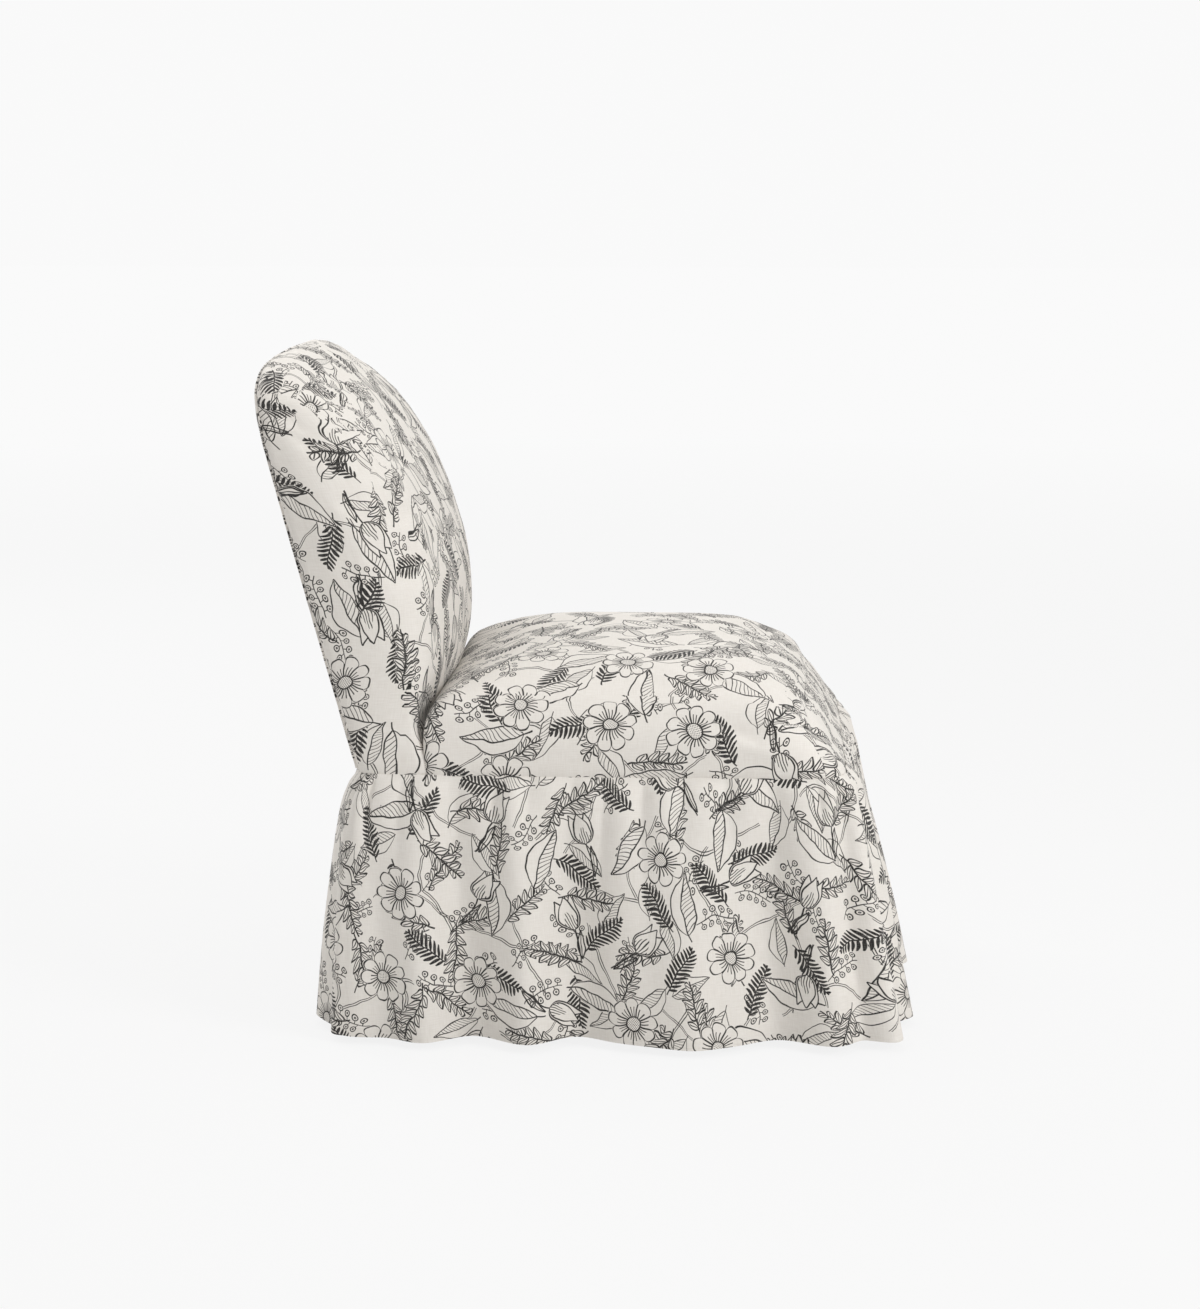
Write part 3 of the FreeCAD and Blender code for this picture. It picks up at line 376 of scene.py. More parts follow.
def berry_motif(step=15.0, ring=4.6, arm=11.0):
    """A stem with round berries on short stalks."""
    group, net, x, y, out = motif("berry motif")
    x = net.sub(x, net.mul(net.mul(y, y), 0.006))
    away = net.size(x)
    shifted = net.add(y, net.mul(net.more(x, 0.0), step / 2))
    number = net.calc("ROUND", net.div(shifted, step))
    up = net.sub(shifted, net.mul(number, step))
    level = net.mul(number, step)
    there = net.between(level, -24.0, 33.0)
    from_berry = net.sub(away, arm)
    r = net.length(from_berry, up)
    rim = net.pen(net.size(net.sub(r, ring)), PEN)
    spot = net.less(net.size(net.sub(r, ring * 0.25)), 0.7)
    stalk = net.pen(net.size(net.add(up, net.mul(from_berry, -0.35))), PEN * 0.8)
    stalk = net.mul(stalk, net.less(away, arm - ring))
    whole = net.mul(net.high(net.high(rim, spot), stalk), there)
    stem = net.mul(net.pen(away, PEN), net.between(y, -36.0, 34.0))
    net.feed(out["Ink"], net.high(whole, stem))
    net.feed(out["Body"], net.mul(net.less(r, ring + BODY_MARGIN), there))
    return group


sprig = sprig_motif("sprig motif", 13.0, 21.0, 3.9, math.radians(42), 0.8)
frond = sprig_motif("frond motif", 6.4, 19.0, 1.1, math.radians(34), 0.95)
berry = berry_motif()
print("sprig nodes", len(sprig.nodes), "berry nodes", len(berry.nodes))

# %% [markdown]
# The bud has three petals that overlap. The middle one hides the side ones, so their rim is
# multiplied by what the middle one leaves free. The side petals are one petal, tilted, and
# mirrored by taking the size of x.

# %% tulip bud
def tulip_motif(height=44.0, width=12.0, tilt=0.27, blade_length=40.0):
    """A closed cup of three petals on a bent stalk with one blade."""
    group, net, x, y, out = motif("tulip motif")
    away = net.size(x)
    share = net.div(y, height)
    half = net.bulge(share, 0.72, width)
    front = net.mul(net.less(away, half), net.between(share, 0.0, 1.0))
    front_rim = net.mul(net.pen(net.size(net.sub(away, half)), PEN), net.between(share, 0.0, 1.0))
    streaks = net.pen(net.off_stripe(away, 3.4), FINE_PEN)
    streaks = net.mul(net.mul(streaks, front), net.less(share, net.muladd(away, -0.045, 0.62)))
    side_x, side_y = net.tilted(away, y, tilt)
    side_x = net.size(side_x)
    side_height = height * 1.02
    side_half = net.bulge(net.div(side_y, side_height), 0.66, width * 0.86)
    side_there = net.between(side_y, 0.0, side_height)
    side_rim = net.mul(net.pen(net.size(net.sub(side_x, side_half)), PEN), side_there)
    side_rim = net.mul(side_rim, net.inverse(front))
    side_body = net.mul(net.less(side_x, side_half), side_there)
    stalk_x = net.size(net.add(x, net.mul(net.mul(y, y), 0.0045)))
    stalk = net.mul(net.pen(stalk_x, PEN * 1.2), net.between(y, -44.0, 0.0))
    blade_x, blade_y = net.tilted(net.add(x, 5.0), net.add(y, 42.0), 0.3)
    blade_x = net.size(blade_x)
    blade_half = net.bulge(net.div(blade_y, blade_length), 1.0, 4.6)
    blade = net.high(net.pen(net.size(net.sub(blade_x, blade_half)), PEN), net.pen(blade_x, FINE_PEN))
    blade = net.mul(blade, net.between(blade_y, 0.0, blade_length))
    flower = net.high(net.high(front_rim, streaks), side_rim)
    net.feed(out["Ink"], net.high(net.high(flower, stalk), blade))
    net.feed(out["Body"], net.high(front, side_body))
    return group


tulip = tulip_motif()
print("tulip nodes", len(tulip.nodes))

# %% [markdown]
# The print scatters the motifs in four layers. Each layer has its own turned grid, and each
# grid cell holds one motif, turned and shifted by chance. A layer's bodies hide the ink of the
# layers behind it, as when one draws the front flowers first. Bent double lines behind them are
# the vines. A slow noise bends all of it a little, as a hand does.

# %% botanical print
# Two motifs to choose from, cell size, turn of the grid, largest shift, and the motifs' size.
PRINT_LAYERS = [
    (daisy, tulip, 112.0, 12, 26.0, 1.0),
    (leaf, sprig, 92.0, 41, 12.0, 1.0),
    (sprig, frond, 80.0, -24, 8.0, 0.95),
    (berry, leaf, 66.0, 67, 6.0, 0.74),
]
VINE_GAP = 1.5
WOBBLE = 9.0


def layer_cell(net, vector, cell, angle, seed, shift):
    """A layer's local place in its cell, with that cell's chance numbers."""
    turned = net.turn(net.vec("DIVIDE", vector, (cell, cell, cell)), angle)
    turned = net.vec("ADD", turned, (seed * 3.7, seed * 1.3, 0.0))
    home = net.vec("FLOOR", turned)
    chance = net.node("TexWhiteNoise", Vector=net.vec("ADD", home, (0.5, 0.5, seed)))
    push = net.vec("SUBTRACT", chance["Color"], (0.5, 0.5, 0.5))
    inside = net.vec("SUBTRACT", net.vec("SUBTRACT", turned, home), (0.5, 0.5, 0.0))
    push = net.vec("MULTIPLY", push, (shift, shift, 0.0))
    local = net.vec("SUBTRACT", net.vec("MULTIPLY", inside, (cell, cell, 0.0)), push)
    spin = net.mul(chance["Value"], 2 * math.pi)
    return net.turn(local, spin), net.parts(chance["Color"])[2]


def botanical_print():
    """Ink of the whole print at a place on the flat cloth, in metres."""
    group, net, given, out = new_group(
        "botanical line print", [("Vector", "NodeSocketVector")], [("Ink", "NodeSocketFloat")]
    )
    flat = net.vec("MULTIPLY", given["Vector"], (1000.0, 1000.0, 0.0))
    wobble = net.vec("SUBTRACT", net.noise(flat, 0.035, 1.0)["Color"], (0.5, 0.5, 0.5))
    flat = net.vec("ADD", flat, net.vec("MULTIPLY", wobble, (WOBBLE, WOBBLE, 0.0)))
    ink, cover = 0.0, 0.0
    for number, (first, second, cell, angle, shift, scale) in enumerate(PRINT_LAYERS):
        local, choice = layer_cell(net, flat, cell, math.radians(angle), number + 1.0, shift)
        chosen = net.more(choice, 0.5)
        drawn = [net.place(group_tree, Vector=local, Size=scale) for group_tree in (first, second)]
        layer_ink, layer_body = (net.mix(chosen, *(one[word] for one in drawn)) for word in ("Ink", "Body"))
        ink = net.high(ink, net.mul(layer_ink, net.inverse(cover)))
        cover = net.high(cover, layer_body)
    x, y, _ = net.parts(flat)
    for across, along, step, swing in ((x, y, 96.0, 30.0), (y, x, 128.0, 36.0)):
        bent = net.add(across, net.mul(net.sine(net.mul(along, 0.021)), swing))
        bent = net.add(bent, net.mul(net.sine(net.mul(along, 0.0537)), swing * 0.22))
        near = net.off_stripe(bent, step)
        shown = net.more(net.sine(net.add(net.mul(along, 0.031), net.mul(across, 0.017))), -0.35)
        vine = net.mul(net.pen(net.size(net.sub(near, VINE_GAP)), FINE_PEN), shown)
        ink = net.high(ink, net.mul(vine, net.inverse(cover)))
    net.feed(out["Ink"], ink)
    return group


botanical = botanical_print()
print("print nodes", len(botanical.nodes))

# %% [markdown]
# The cloth is a plain-weave linen: uneven warp and weft threads with a few thick slubs. The
# weave is one node group, so that the chair's cloths can share it at different thread sizes. It
# could be modelled thread by thread, but at this distance a bump is all that shows. The linen
# follows each piece's own UV map, which holds the flat cloth's metres.

# %% weave and cloth material
LINEN = (0.800, 0.768, 0.724)
LINEN_DARK = (0.728, 0.690, 0.640)
INK = (0.014, 0.013, 0.013)
THREAD_PITCH = 0.00075


def weave_group():
    """Height of a plain weave and an uneven tone, from flat metres."""
    inputs = [("Vector", "NodeSocketVector"), ("Pitch", "NodeSocketFloat")]
    outputs = [("Height", "NodeSocketFloat"), ("Tone", "NodeSocketFloat")]
    group, net, given, out = new_group("plain weave", inputs, outputs)
    x, y, _ = net.parts(given["Vector"])
    across = net.mul(net.div(x, given["Pitch"]), math.pi)
    along = net.mul(net.div(y, given["Pitch"]), math.pi)
    warp = net.power(net.size(net.sine(across)), 0.6)
    weft = net.power(net.size(net.sine(along)), 0.6)
    over = net.more(net.mul(net.sine(across), net.sine(along)), 0.0)
    threads = net.add(net.mul(warp, over), net.mul(weft, net.inverse(over)))
    slubs = [
        net.noise(net.vec("MULTIPLY", given["Vector"], stretch), 1.0, 1.0)[0]
        for stretch in ((55.0, 900.0, 0.0), (900.0, 55.0, 0.0))
    ]
    tone = net.mul(net.add(*slubs), 0.5)
    net.feed(out["Tone"], tone)
    net.feed(out["Height"], net.add(net.mul(threads, 0.6), net.mul(tone, 0.9)))
    return group


def new_material(name, roughness):
    """A material with a Principled shader, its Net and that shader's inputs."""
    made = bpy.data.materials.new(name)
    made.use_nodes = True
    net = Net(made.node_tree)
    shader = made.node_tree.nodes["Principled BSDF"].inputs
    shader["Roughness"].default_value = roughness
    return made, net, shader


def mix_colours(net, share, first, second):
    """A colour between two colours, which are sockets or red, green and blue."""
    made = net.tree.nodes.new("ShaderNodeMix")
    made.data_type = "RGBA"
    net.feed(made.inputs[0], share)
    for socket, colour in ((made.inputs[6], first), (made.inputs[7], second)):
        net.feed(socket, colour if isinstance(colour, bpy.types.NodeSocket) else (*colour, 1))
    return made.outputs[2]


def printed_linen():
    made, net, shader = new_material("printed_linen", 0.86)
    flat = net.node("UVMap", [("uv_map", "cloth")])[0]
    threads = net.place(weave, Vector=flat, Pitch=THREAD_PITCH)
    ink = net.place(botanical, Vector=flat)["Ink"]
    tone = net.muladd(threads["Tone"], 2.2, -0.6)
    cloth = mix_colours(net, net.held(tone), LINEN, LINEN_DARK)
    dry = net.muladd(threads["Tone"], 0.25, 0.84)
    net.feed(shader["Base Color"], mix_colours(net, net.mul(ink, dry), cloth, INK))
    relief = net.node("Bump", Strength=0.25, Distance=0.0004, Height=threads["Height"])[0]
    net.feed(shader["Normal"], relief)
    shader["Sheen Weight"].default_value = 0.12
    shader["Sheen Roughness"].default_value = 0.5
    shader["Specular IOR Level"].default_value = 0.2
    return made


weave = weave_group()
linen = printed_linen()
print("linen nodes", len(linen.node_tree.nodes))

# %% [markdown]
# The seat and the back are padded blocks with soft edges. They could start as cubes with bevels.
# A UV sphere is a stack of rings, so it follows a changing outline better: each ring becomes one
# level's outline, a rectangle with round corners. Then a voxel remesh gives even faces, which the
# cloth simulation needs.

# %% padded block helpers
VOXEL = 0.0065
SEAM = 340
LOW_BOW = 0.05
BOW_RISE = 60
THIRD_STEPS = 8
RING_POINTS = 12 * THIRD_STEPS


def outline(half, front, rear, front_corner, rear_corner):
    """A rectangle with round corners, from the middle of its left side round by the rear."""
    corners = [
        (half - rear_corner, rear - rear_corner, rear_corner),
        (rear_corner - half, rear - rear_corner, rear_corner),
        (front_corner - half, front + front_corner, front_corner),
        (half - front_corner, front + front_corner, front_corner),
    ]
    middle = (front + rear) / 2
    mids = [(half, middle), (0, rear), (-half, middle), (0, front)]
    steps = [step / THIRD_STEPS for step in range(THIRD_STEPS)]
    points = []
    for quarter, (x, y, radius) in enumerate(corners):
        angles = [(quarter + share) * math.pi / 2 for share in [*steps, 1]]
        arc = [(x + radius * math.cos(a), y + radius * math.sin(a)) for a in angles]
        first, last = mids[quarter], mids[(quarter + 1) % 4]
        points += [[a + (b - a) * share for a, b in zip(first, arc[0])] for share in steps]
        points += arc[:-1]
        points += [[a + (b - a) * share for a, b in zip(arc[-1], last)] for share in steps]
    return points


def new_primitive(name, add, **sizes):
    """Adds a primitive with nothing else selected."""
    bpy.ops.object.select_all(action="DESELECT")
    add(**sizes)
    made = bpy.context.object
    made.name = name
    made.data.name = name
    return made


def bowed(x, y, half, front, rear, bow):
    """Moves a point of the front side back, more so towards the corners."""
    nearness = max(0.0, min(1.0, (rear - y) / (rear - front)))
    return y + bow * (x / half) ** 2 * nearness ** 2


def padded_block(name, levels, bow, smoothing):
    """A block through levels of (height, half width, front, rear, front corner, rear corner), in mm."""
    count = len(levels)
    block = new_primitive(
        name, bpy.ops.mesh.primitive_uv_sphere_add, segments=RING_POINTS, ring_count=count + 1, radius=1
    )
    rings = [outline(*level[1:]) for level in levels]
    for vertex in block.data.vertices:
        x, y, z = vertex.co
        ring = round(math.acos(max(-1, min(1, z))) / math.pi * (count + 1))
        level = levels[min(max(count - ring, 0), count - 1)]
        if ring in (0, count + 1):
            place = (0, (level[2] + level[3]) / 2, level[0])
        else:
            step = round(math.atan2(y, x) / (2 * math.pi) * RING_POINTS) % RING_POINTS
            x, y = rings[count - ring][step]
            low = max(LOW_BOW, min(1.0, (level[0] - SEAM) / BOW_RISE))
            place = (x, bowed(x, y, *level[1:4], bow * low), level[0])
        vertex.co = Vector(place) / 1000
    apply_modifier(block, "REMESH", mode="VOXEL", voxel_size=VOXEL)
    apply_modifier(block, "SMOOTH", factor=0.5, iterations=smoothing)
    return block


def apply_modifier(piece, kind, **values):
    """Adds a modifier with its values and applies it."""
    bpy.ops.object.select_all(action="DESELECT")
    piece.select_set(True)
    bpy.context.view_layer.objects.active = piece
    made = piece.modifiers.new(kind.lower(), kind)
    for name, value in values.items():
        setattr(made, name, value)
    bpy.ops.object.modifier_apply(modifier=made.name)


print("ring of", RING_POINTS, "points, voxels of", VOXEL * 1000, "mm")

# %% [markdown]
# Padding pushes a cover out where it isn't sewn down. Sculpting could give that form by hand. The
# cloth simulation finds it by itself, with air pressure inside the block. Seams are pinned, and
# no point may move further than a few millimetres, so that the chair keeps its size.

# %% cloth simulation
PRESSURE = 4
PUFF_FRAMES = 20
PUFF_CAP = 0.006
PIN_FADE = 0.03


def puff(piece, pinned):
    """Blows a block up like a padded cover, held at its pinned points."""
    scene = bpy.context.scene
    start = [vertex.co.copy() for vertex in piece.data.vertices]
    pins = piece.vertex_groups.new(name="seams")
    for vertex in piece.data.vertices:
        pins.add([vertex.index], max(0.0, min(1.0, pinned(vertex.co))), "REPLACE")
    cloth = piece.modifiers.new("cloth", "CLOTH")
    settings = cloth.settings
    settings.quality = 4
    settings.mass = 0.4
    settings.tension_stiffness = 12
    settings.compression_stiffness = 12
    settings.shear_stiffness = 6
    settings.bending_stiffness = 0.4
    settings.use_pressure = True
    settings.uniform_pressure_force = PRESSURE
    settings.vertex_group_mass = "seams"
    settings.effector_weights.gravity = 0
    cloth.point_cache.frame_start = 1
    cloth.point_cache.frame_end = PUFF_FRAMES
    for number in range(1, PUFF_FRAMES + 1):
        scene.frame_set(number)
    graph = bpy.context.evaluated_depsgraph_get()
    blown = piece.evaluated_get(graph)
    ends = [vertex.co.copy() for vertex in blown.data.vertices]
    piece.modifiers.remove(cloth)
    piece.vertex_groups.remove(pins)
    scene.frame_set(1)
    furthest = 0.0
    for vertex, before, after in zip(piece.data.vertices, start, ends):
        move = after - before
        furthest = max(furthest, move.length)
        vertex.co = before + move * (PUFF_CAP / max(move.length, PUFF_CAP))
    print(piece.name, "blown up by at most", round(furthest * 1000, 1), "mm before the cap")


print("simulation frames", PUFF_FRAMES, "cap", PUFF_CAP * 1000, "mm")

# %% [markdown]
# The tight seat: a deep block with a splayed front and a crown that is highest in the middle.
# Its cloth is drawn over the edges and sewn to the skirt at the waist seam. Its table of levels
# was read from the photograph's outline, from the seam up. A subdivision after the simulation
# smooths the voxels' marks.

# %% seat block
SEAT_FRONT_BOW = 14
# Height, half width, front, rear, front corner and rear corner, in mm.
SEAT_LEVELS = [
    (322, 270, -312, 200, 40, 3),
    (337, 281, -322, 204, 43, 3),
    (343, 285, -323.5, 205, 45, 3),
    (352, 285.5, -317, 205, 45, 3),
    (372, 284.5, -302, 205, 47, 3),
    (392, 282, -291, 205, 51, 4),
    (410, 279, -284, 202, 55, 6),
    (424, 274, -279, 194, 58, 14),
    (436, 264, -273, 182, 62, 26),
    (447, 246, -262, 162, 66, 36),
    (457, 220, -246, 132, 68, 46),
    (466, 186, -214, 92, 70, 56),
    (473, 144, -176, 40, 60, 50),
    (478, 96, -136, -16, 44, 40),
    (480, 44, -100, -60, 18, 18),
]
PIN_HEIGHT = 0.345
SEAT_JOINT = 0.150


def seat_pins(point):
    """How firmly a point of the seat is held: the waist seam and the joint with the back."""
    return max(1 - (point.z - PIN_HEIGHT) / PIN_FADE, (point.y - SEAT_JOINT) / PIN_FADE)


seat = padded_block("seat_cushion", SEAT_LEVELS, SEAT_FRONT_BOW, 14)
puff(seat, seat_pins)
apply_modifier(seat, "SUBSURF", levels=1, render_levels=1)
bpy.ops.object.shade_smooth()
print("seat faces", len(seat.data.polygons), "size", [round(x, 3) for x in seat.dimensions])

# %% [markdown]
# A UV map tells the print how the flat cloth lies. Unwrapping could make one, but with a seam
# where it suits the map. Here the lengths along two profiles are the map, so the flowers aren't
# stretched: the seat's cloth runs over the top and down the front and the sides in one piece, and
# only the corners between the front and the sides have a seam.

# %% seat cloth
def nearest_length(profile, point):
    """The length along a profile of the point on it nearest to a point."""
    best, found, length = 1e9, 0.0, 0.0
    for (ax, ay), (bx, by) in zip(profile, profile[1:]):
        dx, dy = bx - ax, by - ay
        run = math.hypot(dx, dy)
        share = ((point[0] - ax) * dx + (point[1] - ay) * dy) / run ** 2
        first, last = length == 0.0, (bx, by) == profile[-1]
        held = max(-9.0 if first else 0.0, min(9.0 if last else 1.0, share))
        miss = math.hypot(ax + dx * held - point[0], ay + dy * held - point[1])
        if miss < best:
            best, found = miss, length + held * run
        length += run
    return found


def new_uv_map(mesh):
    for old in list(mesh.uv_layers):
        mesh.uv_layers.remove(old)
    return mesh.uv_layers.new(name="cloth")


def lay_cloth(piece, part_of, flat_place):
    """Writes the UV map. part_of names a face's part by its normal and centre, and flat_place
    gives the flat cloth's place of a point in that part."""
    mesh = piece.data
    layer = new_uv_map(mesh)
    known = {}
    for face in mesh.polygons:
        part = part_of(face.normal, face.center)
        for loop in face.loop_indices:
            index = mesh.loops[loop].vertex_index
            if (index, part) not in known:
                known[index, part] = flat_place(mesh.vertices[index].co, part)
            layer.data[loop].uv = known[index, part]


# The seat's profiles from side to side and from front to rear, in metres.
ACROSS = [(-0.284, 0.34), (-0.279, 0.41), (-0.264, 0.436), (-0.22, 0.457), (-0.12, 0.476), (0, 0.481)]
ACROSS += [(-x, z) for x, z in reversed(ACROSS[:-1])]
ALONG = [(-0.326, 0.34), (-0.292, 0.41), (-0.281, 0.436), (-0.246, 0.457), (-0.17, 0.474), (-0.08, 0.481)]
ALONG += [(0.03, 0.475), (0.13, 0.457), (0.19, 0.42), (0.191, 0.34)]
CROWN = 0.481
TOP_EDGE = 0.438
CORNER_X = 0.245
CORNER_Y = -0.262
ACROSS_MIDDLE = nearest_length(ACROSS, (0, CROWN))
ALONG_MIDDLE = nearest_length(ALONG, (-0.08, CROWN)) + 0.08


def seat_part(normal, centre):
    """Side, front or top: the corner between the front and the sides is the only seam."""
    if centre.z > TOP_EDGE:
        return "top"
    return "side" if abs(centre.x) - CORNER_X > CORNER_Y - centre.y else "front"


def seat_flat(point, part):
    u = ACROSS_MIDDLE + point.x if part == "front" else nearest_length(ACROSS, (point.x, point.z))
    v = ALONG_MIDDLE + point.y if part == "side" else nearest_length(ALONG, (point.y, point.z))
    return u + 0.11, v + 0.07


lay_cloth(seat, seat_part, seat_flat)
seat.data.materials.append(linen)
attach(seat, "root")
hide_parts("seat_cover", "seat_wadding", "seat_foam")
print("seat cloth, side to side", round(2 * ACROSS_MIDDLE, 3), "m")

# %% [markdown]
# The back is one thick block too. It leans back by 15 degrees, its front bulges over the seat,
# and its top is a flat arch with soft shoulders. Only its rear edge is rather sharp. It is made
# as the seat was, and its levels lie one behind the other, which gives the lean.

# %% back block
LEAN = math.radians(15)
BACK_FRONT_BOW = 26
BACK_LEVELS = [
    (322, 268, 194, 272, 3, 20),
    (337, 280, 191.5, 285, 3, 24),
    (343, 283.5, 191, 289, 3, 26),
    (352, 284, 190.5, 291, 3, 26),
    (380, 283.5, 190.5, 299, 4, 25),
    (405, 283, 191, 305.5, 8, 24),
    (430, 282.5, 186, 312, 16, 23),
    (460, 282, 178, 320, 28, 20),
    (500, 281, 176, 331, 38, 18),
    (560, 280, 182, 347, 46, 15),
    (640, 279, 206, 368.5, 52, 13),
    (700, 278, 230, 384.5, 54, 13),
    (750, 276, 260, 398, 54, 13),
    (785, 272, 286, 406.5, 52, 16),
    (804, 266, 304, 410, 48, 20),
    (820, 253, 320, 411.5, 44, 28),
    (833, 233, 334, 410, 39, 34),
    (844, 204, 343, 405, 32, 31),
    (852, 165, 355, 397, 21, 21),
    (857, 115, 365, 388, 12, 12),
    (859.5, 60, 373, 381, 5, 5),
]

REAR_FOOT = 0.288
JOINT_HEIGHT, JOINT_HALF, JOINT_DEPTH, JOINT_FADE = 0.40, 0.285, 0.22, 0.08


def back_pins(point):
    """How firmly a point of the back is held: its waist seam, rear edge and joint with the seat."""
    rear = REAR_FOOT + (point.z - SEAM / 1000) * math.tan(LEAN)
    low = 1 - (point.z - PIN_HEIGHT) / PIN_FADE
    behind = 1 - (rear - point.y) / PIN_FADE
    off_joint = max(point.z - JOINT_HEIGHT, 0) + max(abs(point.x) - JOINT_HALF, 0)
    return max(low, behind, 1 - off_joint / JOINT_FADE if point.y < JOINT_DEPTH else 0)


back = padded_block("back_cushion", BACK_LEVELS, BACK_FRONT_BOW, 12)
puff(back, back_pins)
apply_modifier(back, "SUBSURF", levels=1, render_levels=1)
bpy.ops.object.shade_smooth()
print("back faces", len(back.data.polygons), "size", [round(x, 3) for x in back.dimensions])

# %% [markdown]
# The inside back's cloth lies flat on the front, runs up over the arch and turns round both sides
# to the rear edge. So one profile runs up the front and over the top, and the other one runs round
# from side to side. Seams are only where the top meets the sides, as on the real cover.

# %% back cloth
FACE = [(0.190, 0.34), (0.189, 0.40), (0.174, 0.48), (0.176, 0.56), (0.194, 0.64), (0.214, 0.70)]
FACE += [(0.242, 0.75), (0.266, 0.785), (0.30, 0.822), (0.335, 0.847), (0.37, 0.859), (0.42, 0.859)]
SIDE_TURN = [(-0.285, 0.5), (-0.281, 0.09), (-0.270, 0.045), (-0.245, 0.014), (-0.20, 0.0), (0, -0.004)]
SIDE_TURN += [(-x, d) for x, d in reversed(SIDE_TURN[:-1])]
TURN_MIDDLE = nearest_length(SIDE_TURN, (0, -0.004))
SHOULDER = 0.80
FRONT_LINE = [(z, y) for y, z in FACE[:9]]


def curve_at(points, x):
    """A value between the points of a curve."""
    for (x0, y0), (x1, y1) in zip(points, points[1:]):
        if x <= x1:
            return y0 + (y1 - y0) * max(0.0, (x - x0) / (x1 - x0))
    return points[-1][1]


def back_part(normal, centre):
    """Rear, top or side, which also takes in the front."""
    if normal.y * math.cos(LEAN) - normal.z * math.sin(LEAN) > 0.8:
        return "rear"
    return "top" if abs(normal.x) < 0.72 and normal.z > 0.5 else "side"


def back_flat(point, part):
    if part == "rear":
        return point.x + 1.3, (point.z - 0.34) / math.cos(LEAN) + 0.4
    if part == "top":
        up = nearest_length(FACE, (point.y, point.z))
        return TURN_MIDDLE + point.x + 0.42, up + 0.55
    front = curve_at(FRONT_LINE, min(point.z, SHOULDER))
    round_side = nearest_length(SIDE_TURN, (point.x, point.y - front))
    return round_side + 0.42, nearest_length(FACE, (front, point.z)) + 0.55


lay_cloth(back, back_part, back_flat)
back.data.materials.append(linen)
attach(back, "root")
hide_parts("inside_back_cover", "back_wadding", "back_foam")
print("back cloth, side to side", round(2 * TURN_MIDDLE, 3), "m")

# %% [markdown]
# The outside back is a flat cloth, turned under at its edges and slip-stitched to the back's
# rear edge. It could be cut from the block's own faces, but then it would have no edge of its
# own. So it starts as a grid in the outline of the back and is then laid onto the block.

# %% outside back panel
# The arch of the panel's top: distance from the middle and height, in mm.
PANEL_TOP = [(0, 846), (105, 844), (165, 839), (208, 829), (240, 813), (258, 795), (267, 776)]
PANEL_HALF = 0.267
PANEL_BOTTOM = 0.346
PANEL_LIFT = 0.0012
PANEL_START = 0.6
PANEL_THICK = 0.0022


add_grid = bpy.ops.mesh.primitive_grid_add
panel = new_primitive("outside_back_cover", add_grid, x_subdivisions=120, y_subdivisions=110, size=2)
for vertex in panel.data.vertices:
    u, v = vertex.co.x, (vertex.co.y + 1) / 2
    x = math.sin(u * math.pi / 2) * PANEL_HALF
    top = curve_at(PANEL_TOP, abs(x) * 1000) / 1000
    vertex.co = Vector((-x, PANEL_START, PANEL_BOTTOM + (top - PANEL_BOTTOM) * v))
apply_modifier(
    panel, "SHRINKWRAP", target=back, wrap_method="PROJECT", use_project_y=True,
    use_negative_direction=True, use_positive_direction=False, offset=PANEL_LIFT,
)
apply_modifier(panel, "SMOOTH", factor=0.5, iterations=6, use_x=False, use_z=False)
lay_cloth(
    panel,
    lambda normal, centre: "rear",
    lambda point, part: (1.9 - point.x, point.z / math.cos(LEAN) + 0.13),
)
apply_modifier(panel, "SOLIDIFY", thickness=PANEL_THICK, offset=0)
bpy.ops.object.shade_smooth_by_angle(angle=math.radians(50))
panel.data.materials.append(linen)
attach(panel, "root")
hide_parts("outside_back_panel")

# %% [markdown]
# The skirt is one long gathered cloth, sewn on at the waist seam. A cloth simulation could drop
# it, but its folds would fall where they like. So it is a grid closed into a ring, whose line
# follows a table of outlines from the seam to the hem. Its share of the way round starts at the
# middle of the left side and runs round by the rear.

# %% skirt outline
SKIRT_TOP = 342
SKIRT_HEM = 11
# Height, half width, front and rear, in mm.
SKIRT_LEVELS = [
    (342, 281.5, 321, 285.5),
    (339, 284, 324, 288),
    (333, 287, 328, 292),
    (322, 290.5, 332, 298.5),
    (305, 294, 336, 305),
    (285, 297.5, 341, 310),
    (250, 301, 348, 316),
    (210, 304, 356, 321.5),
    (170, 306.5, 364, 326),
    (130, 308.5, 372, 330),
    (75, 311, 383, 335),
    (11, 313.5, 395, 340),
]
SEAM_CORNERS = (45, 26)
HEM_CORNER = 84
# What a quarter's front or rear, its side and its corner take of the way round, in one unit.
FRONT_PART, SIDE_PART, CORNER_PART = 0.16, 0.19, 0.075
QUARTER_PART = FRONT_PART + SIDE_PART + CORNER_PART
RING_STEPS = 1600


def smooth_table(rows, key):
    """A row of values between the rows of a table, without kinks."""
    rows = sorted(rows)
    key = max(rows[0][0], min(rows[-1][0], key))
    at = max(index for index in range(len(rows) - 1) if rows[index][0] <= key)
    a, b = rows[at], rows[at + 1]
    before, after = rows[max(at - 1, 0)], rows[min(at + 2, len(rows) - 1)]
    t = (key - a[0]) / (b[0] - a[0])
    values = []
    for p, q, r, s in zip(before[1:], a[1:], b[1:], after[1:]):
        start = (r - p) / 2 if at > 0 else r - q
        end = (s - q) / 2 if at + 2 < len(rows) else r - q
        values.append(
            (2 * t ** 3 - 3 * t ** 2 + 1) * q + (t ** 3 - 2 * t ** 2 + t) * start
            + (3 * t ** 2 - 2 * t ** 3) * r + (t ** 3 - t ** 2) * end
        )
    return values


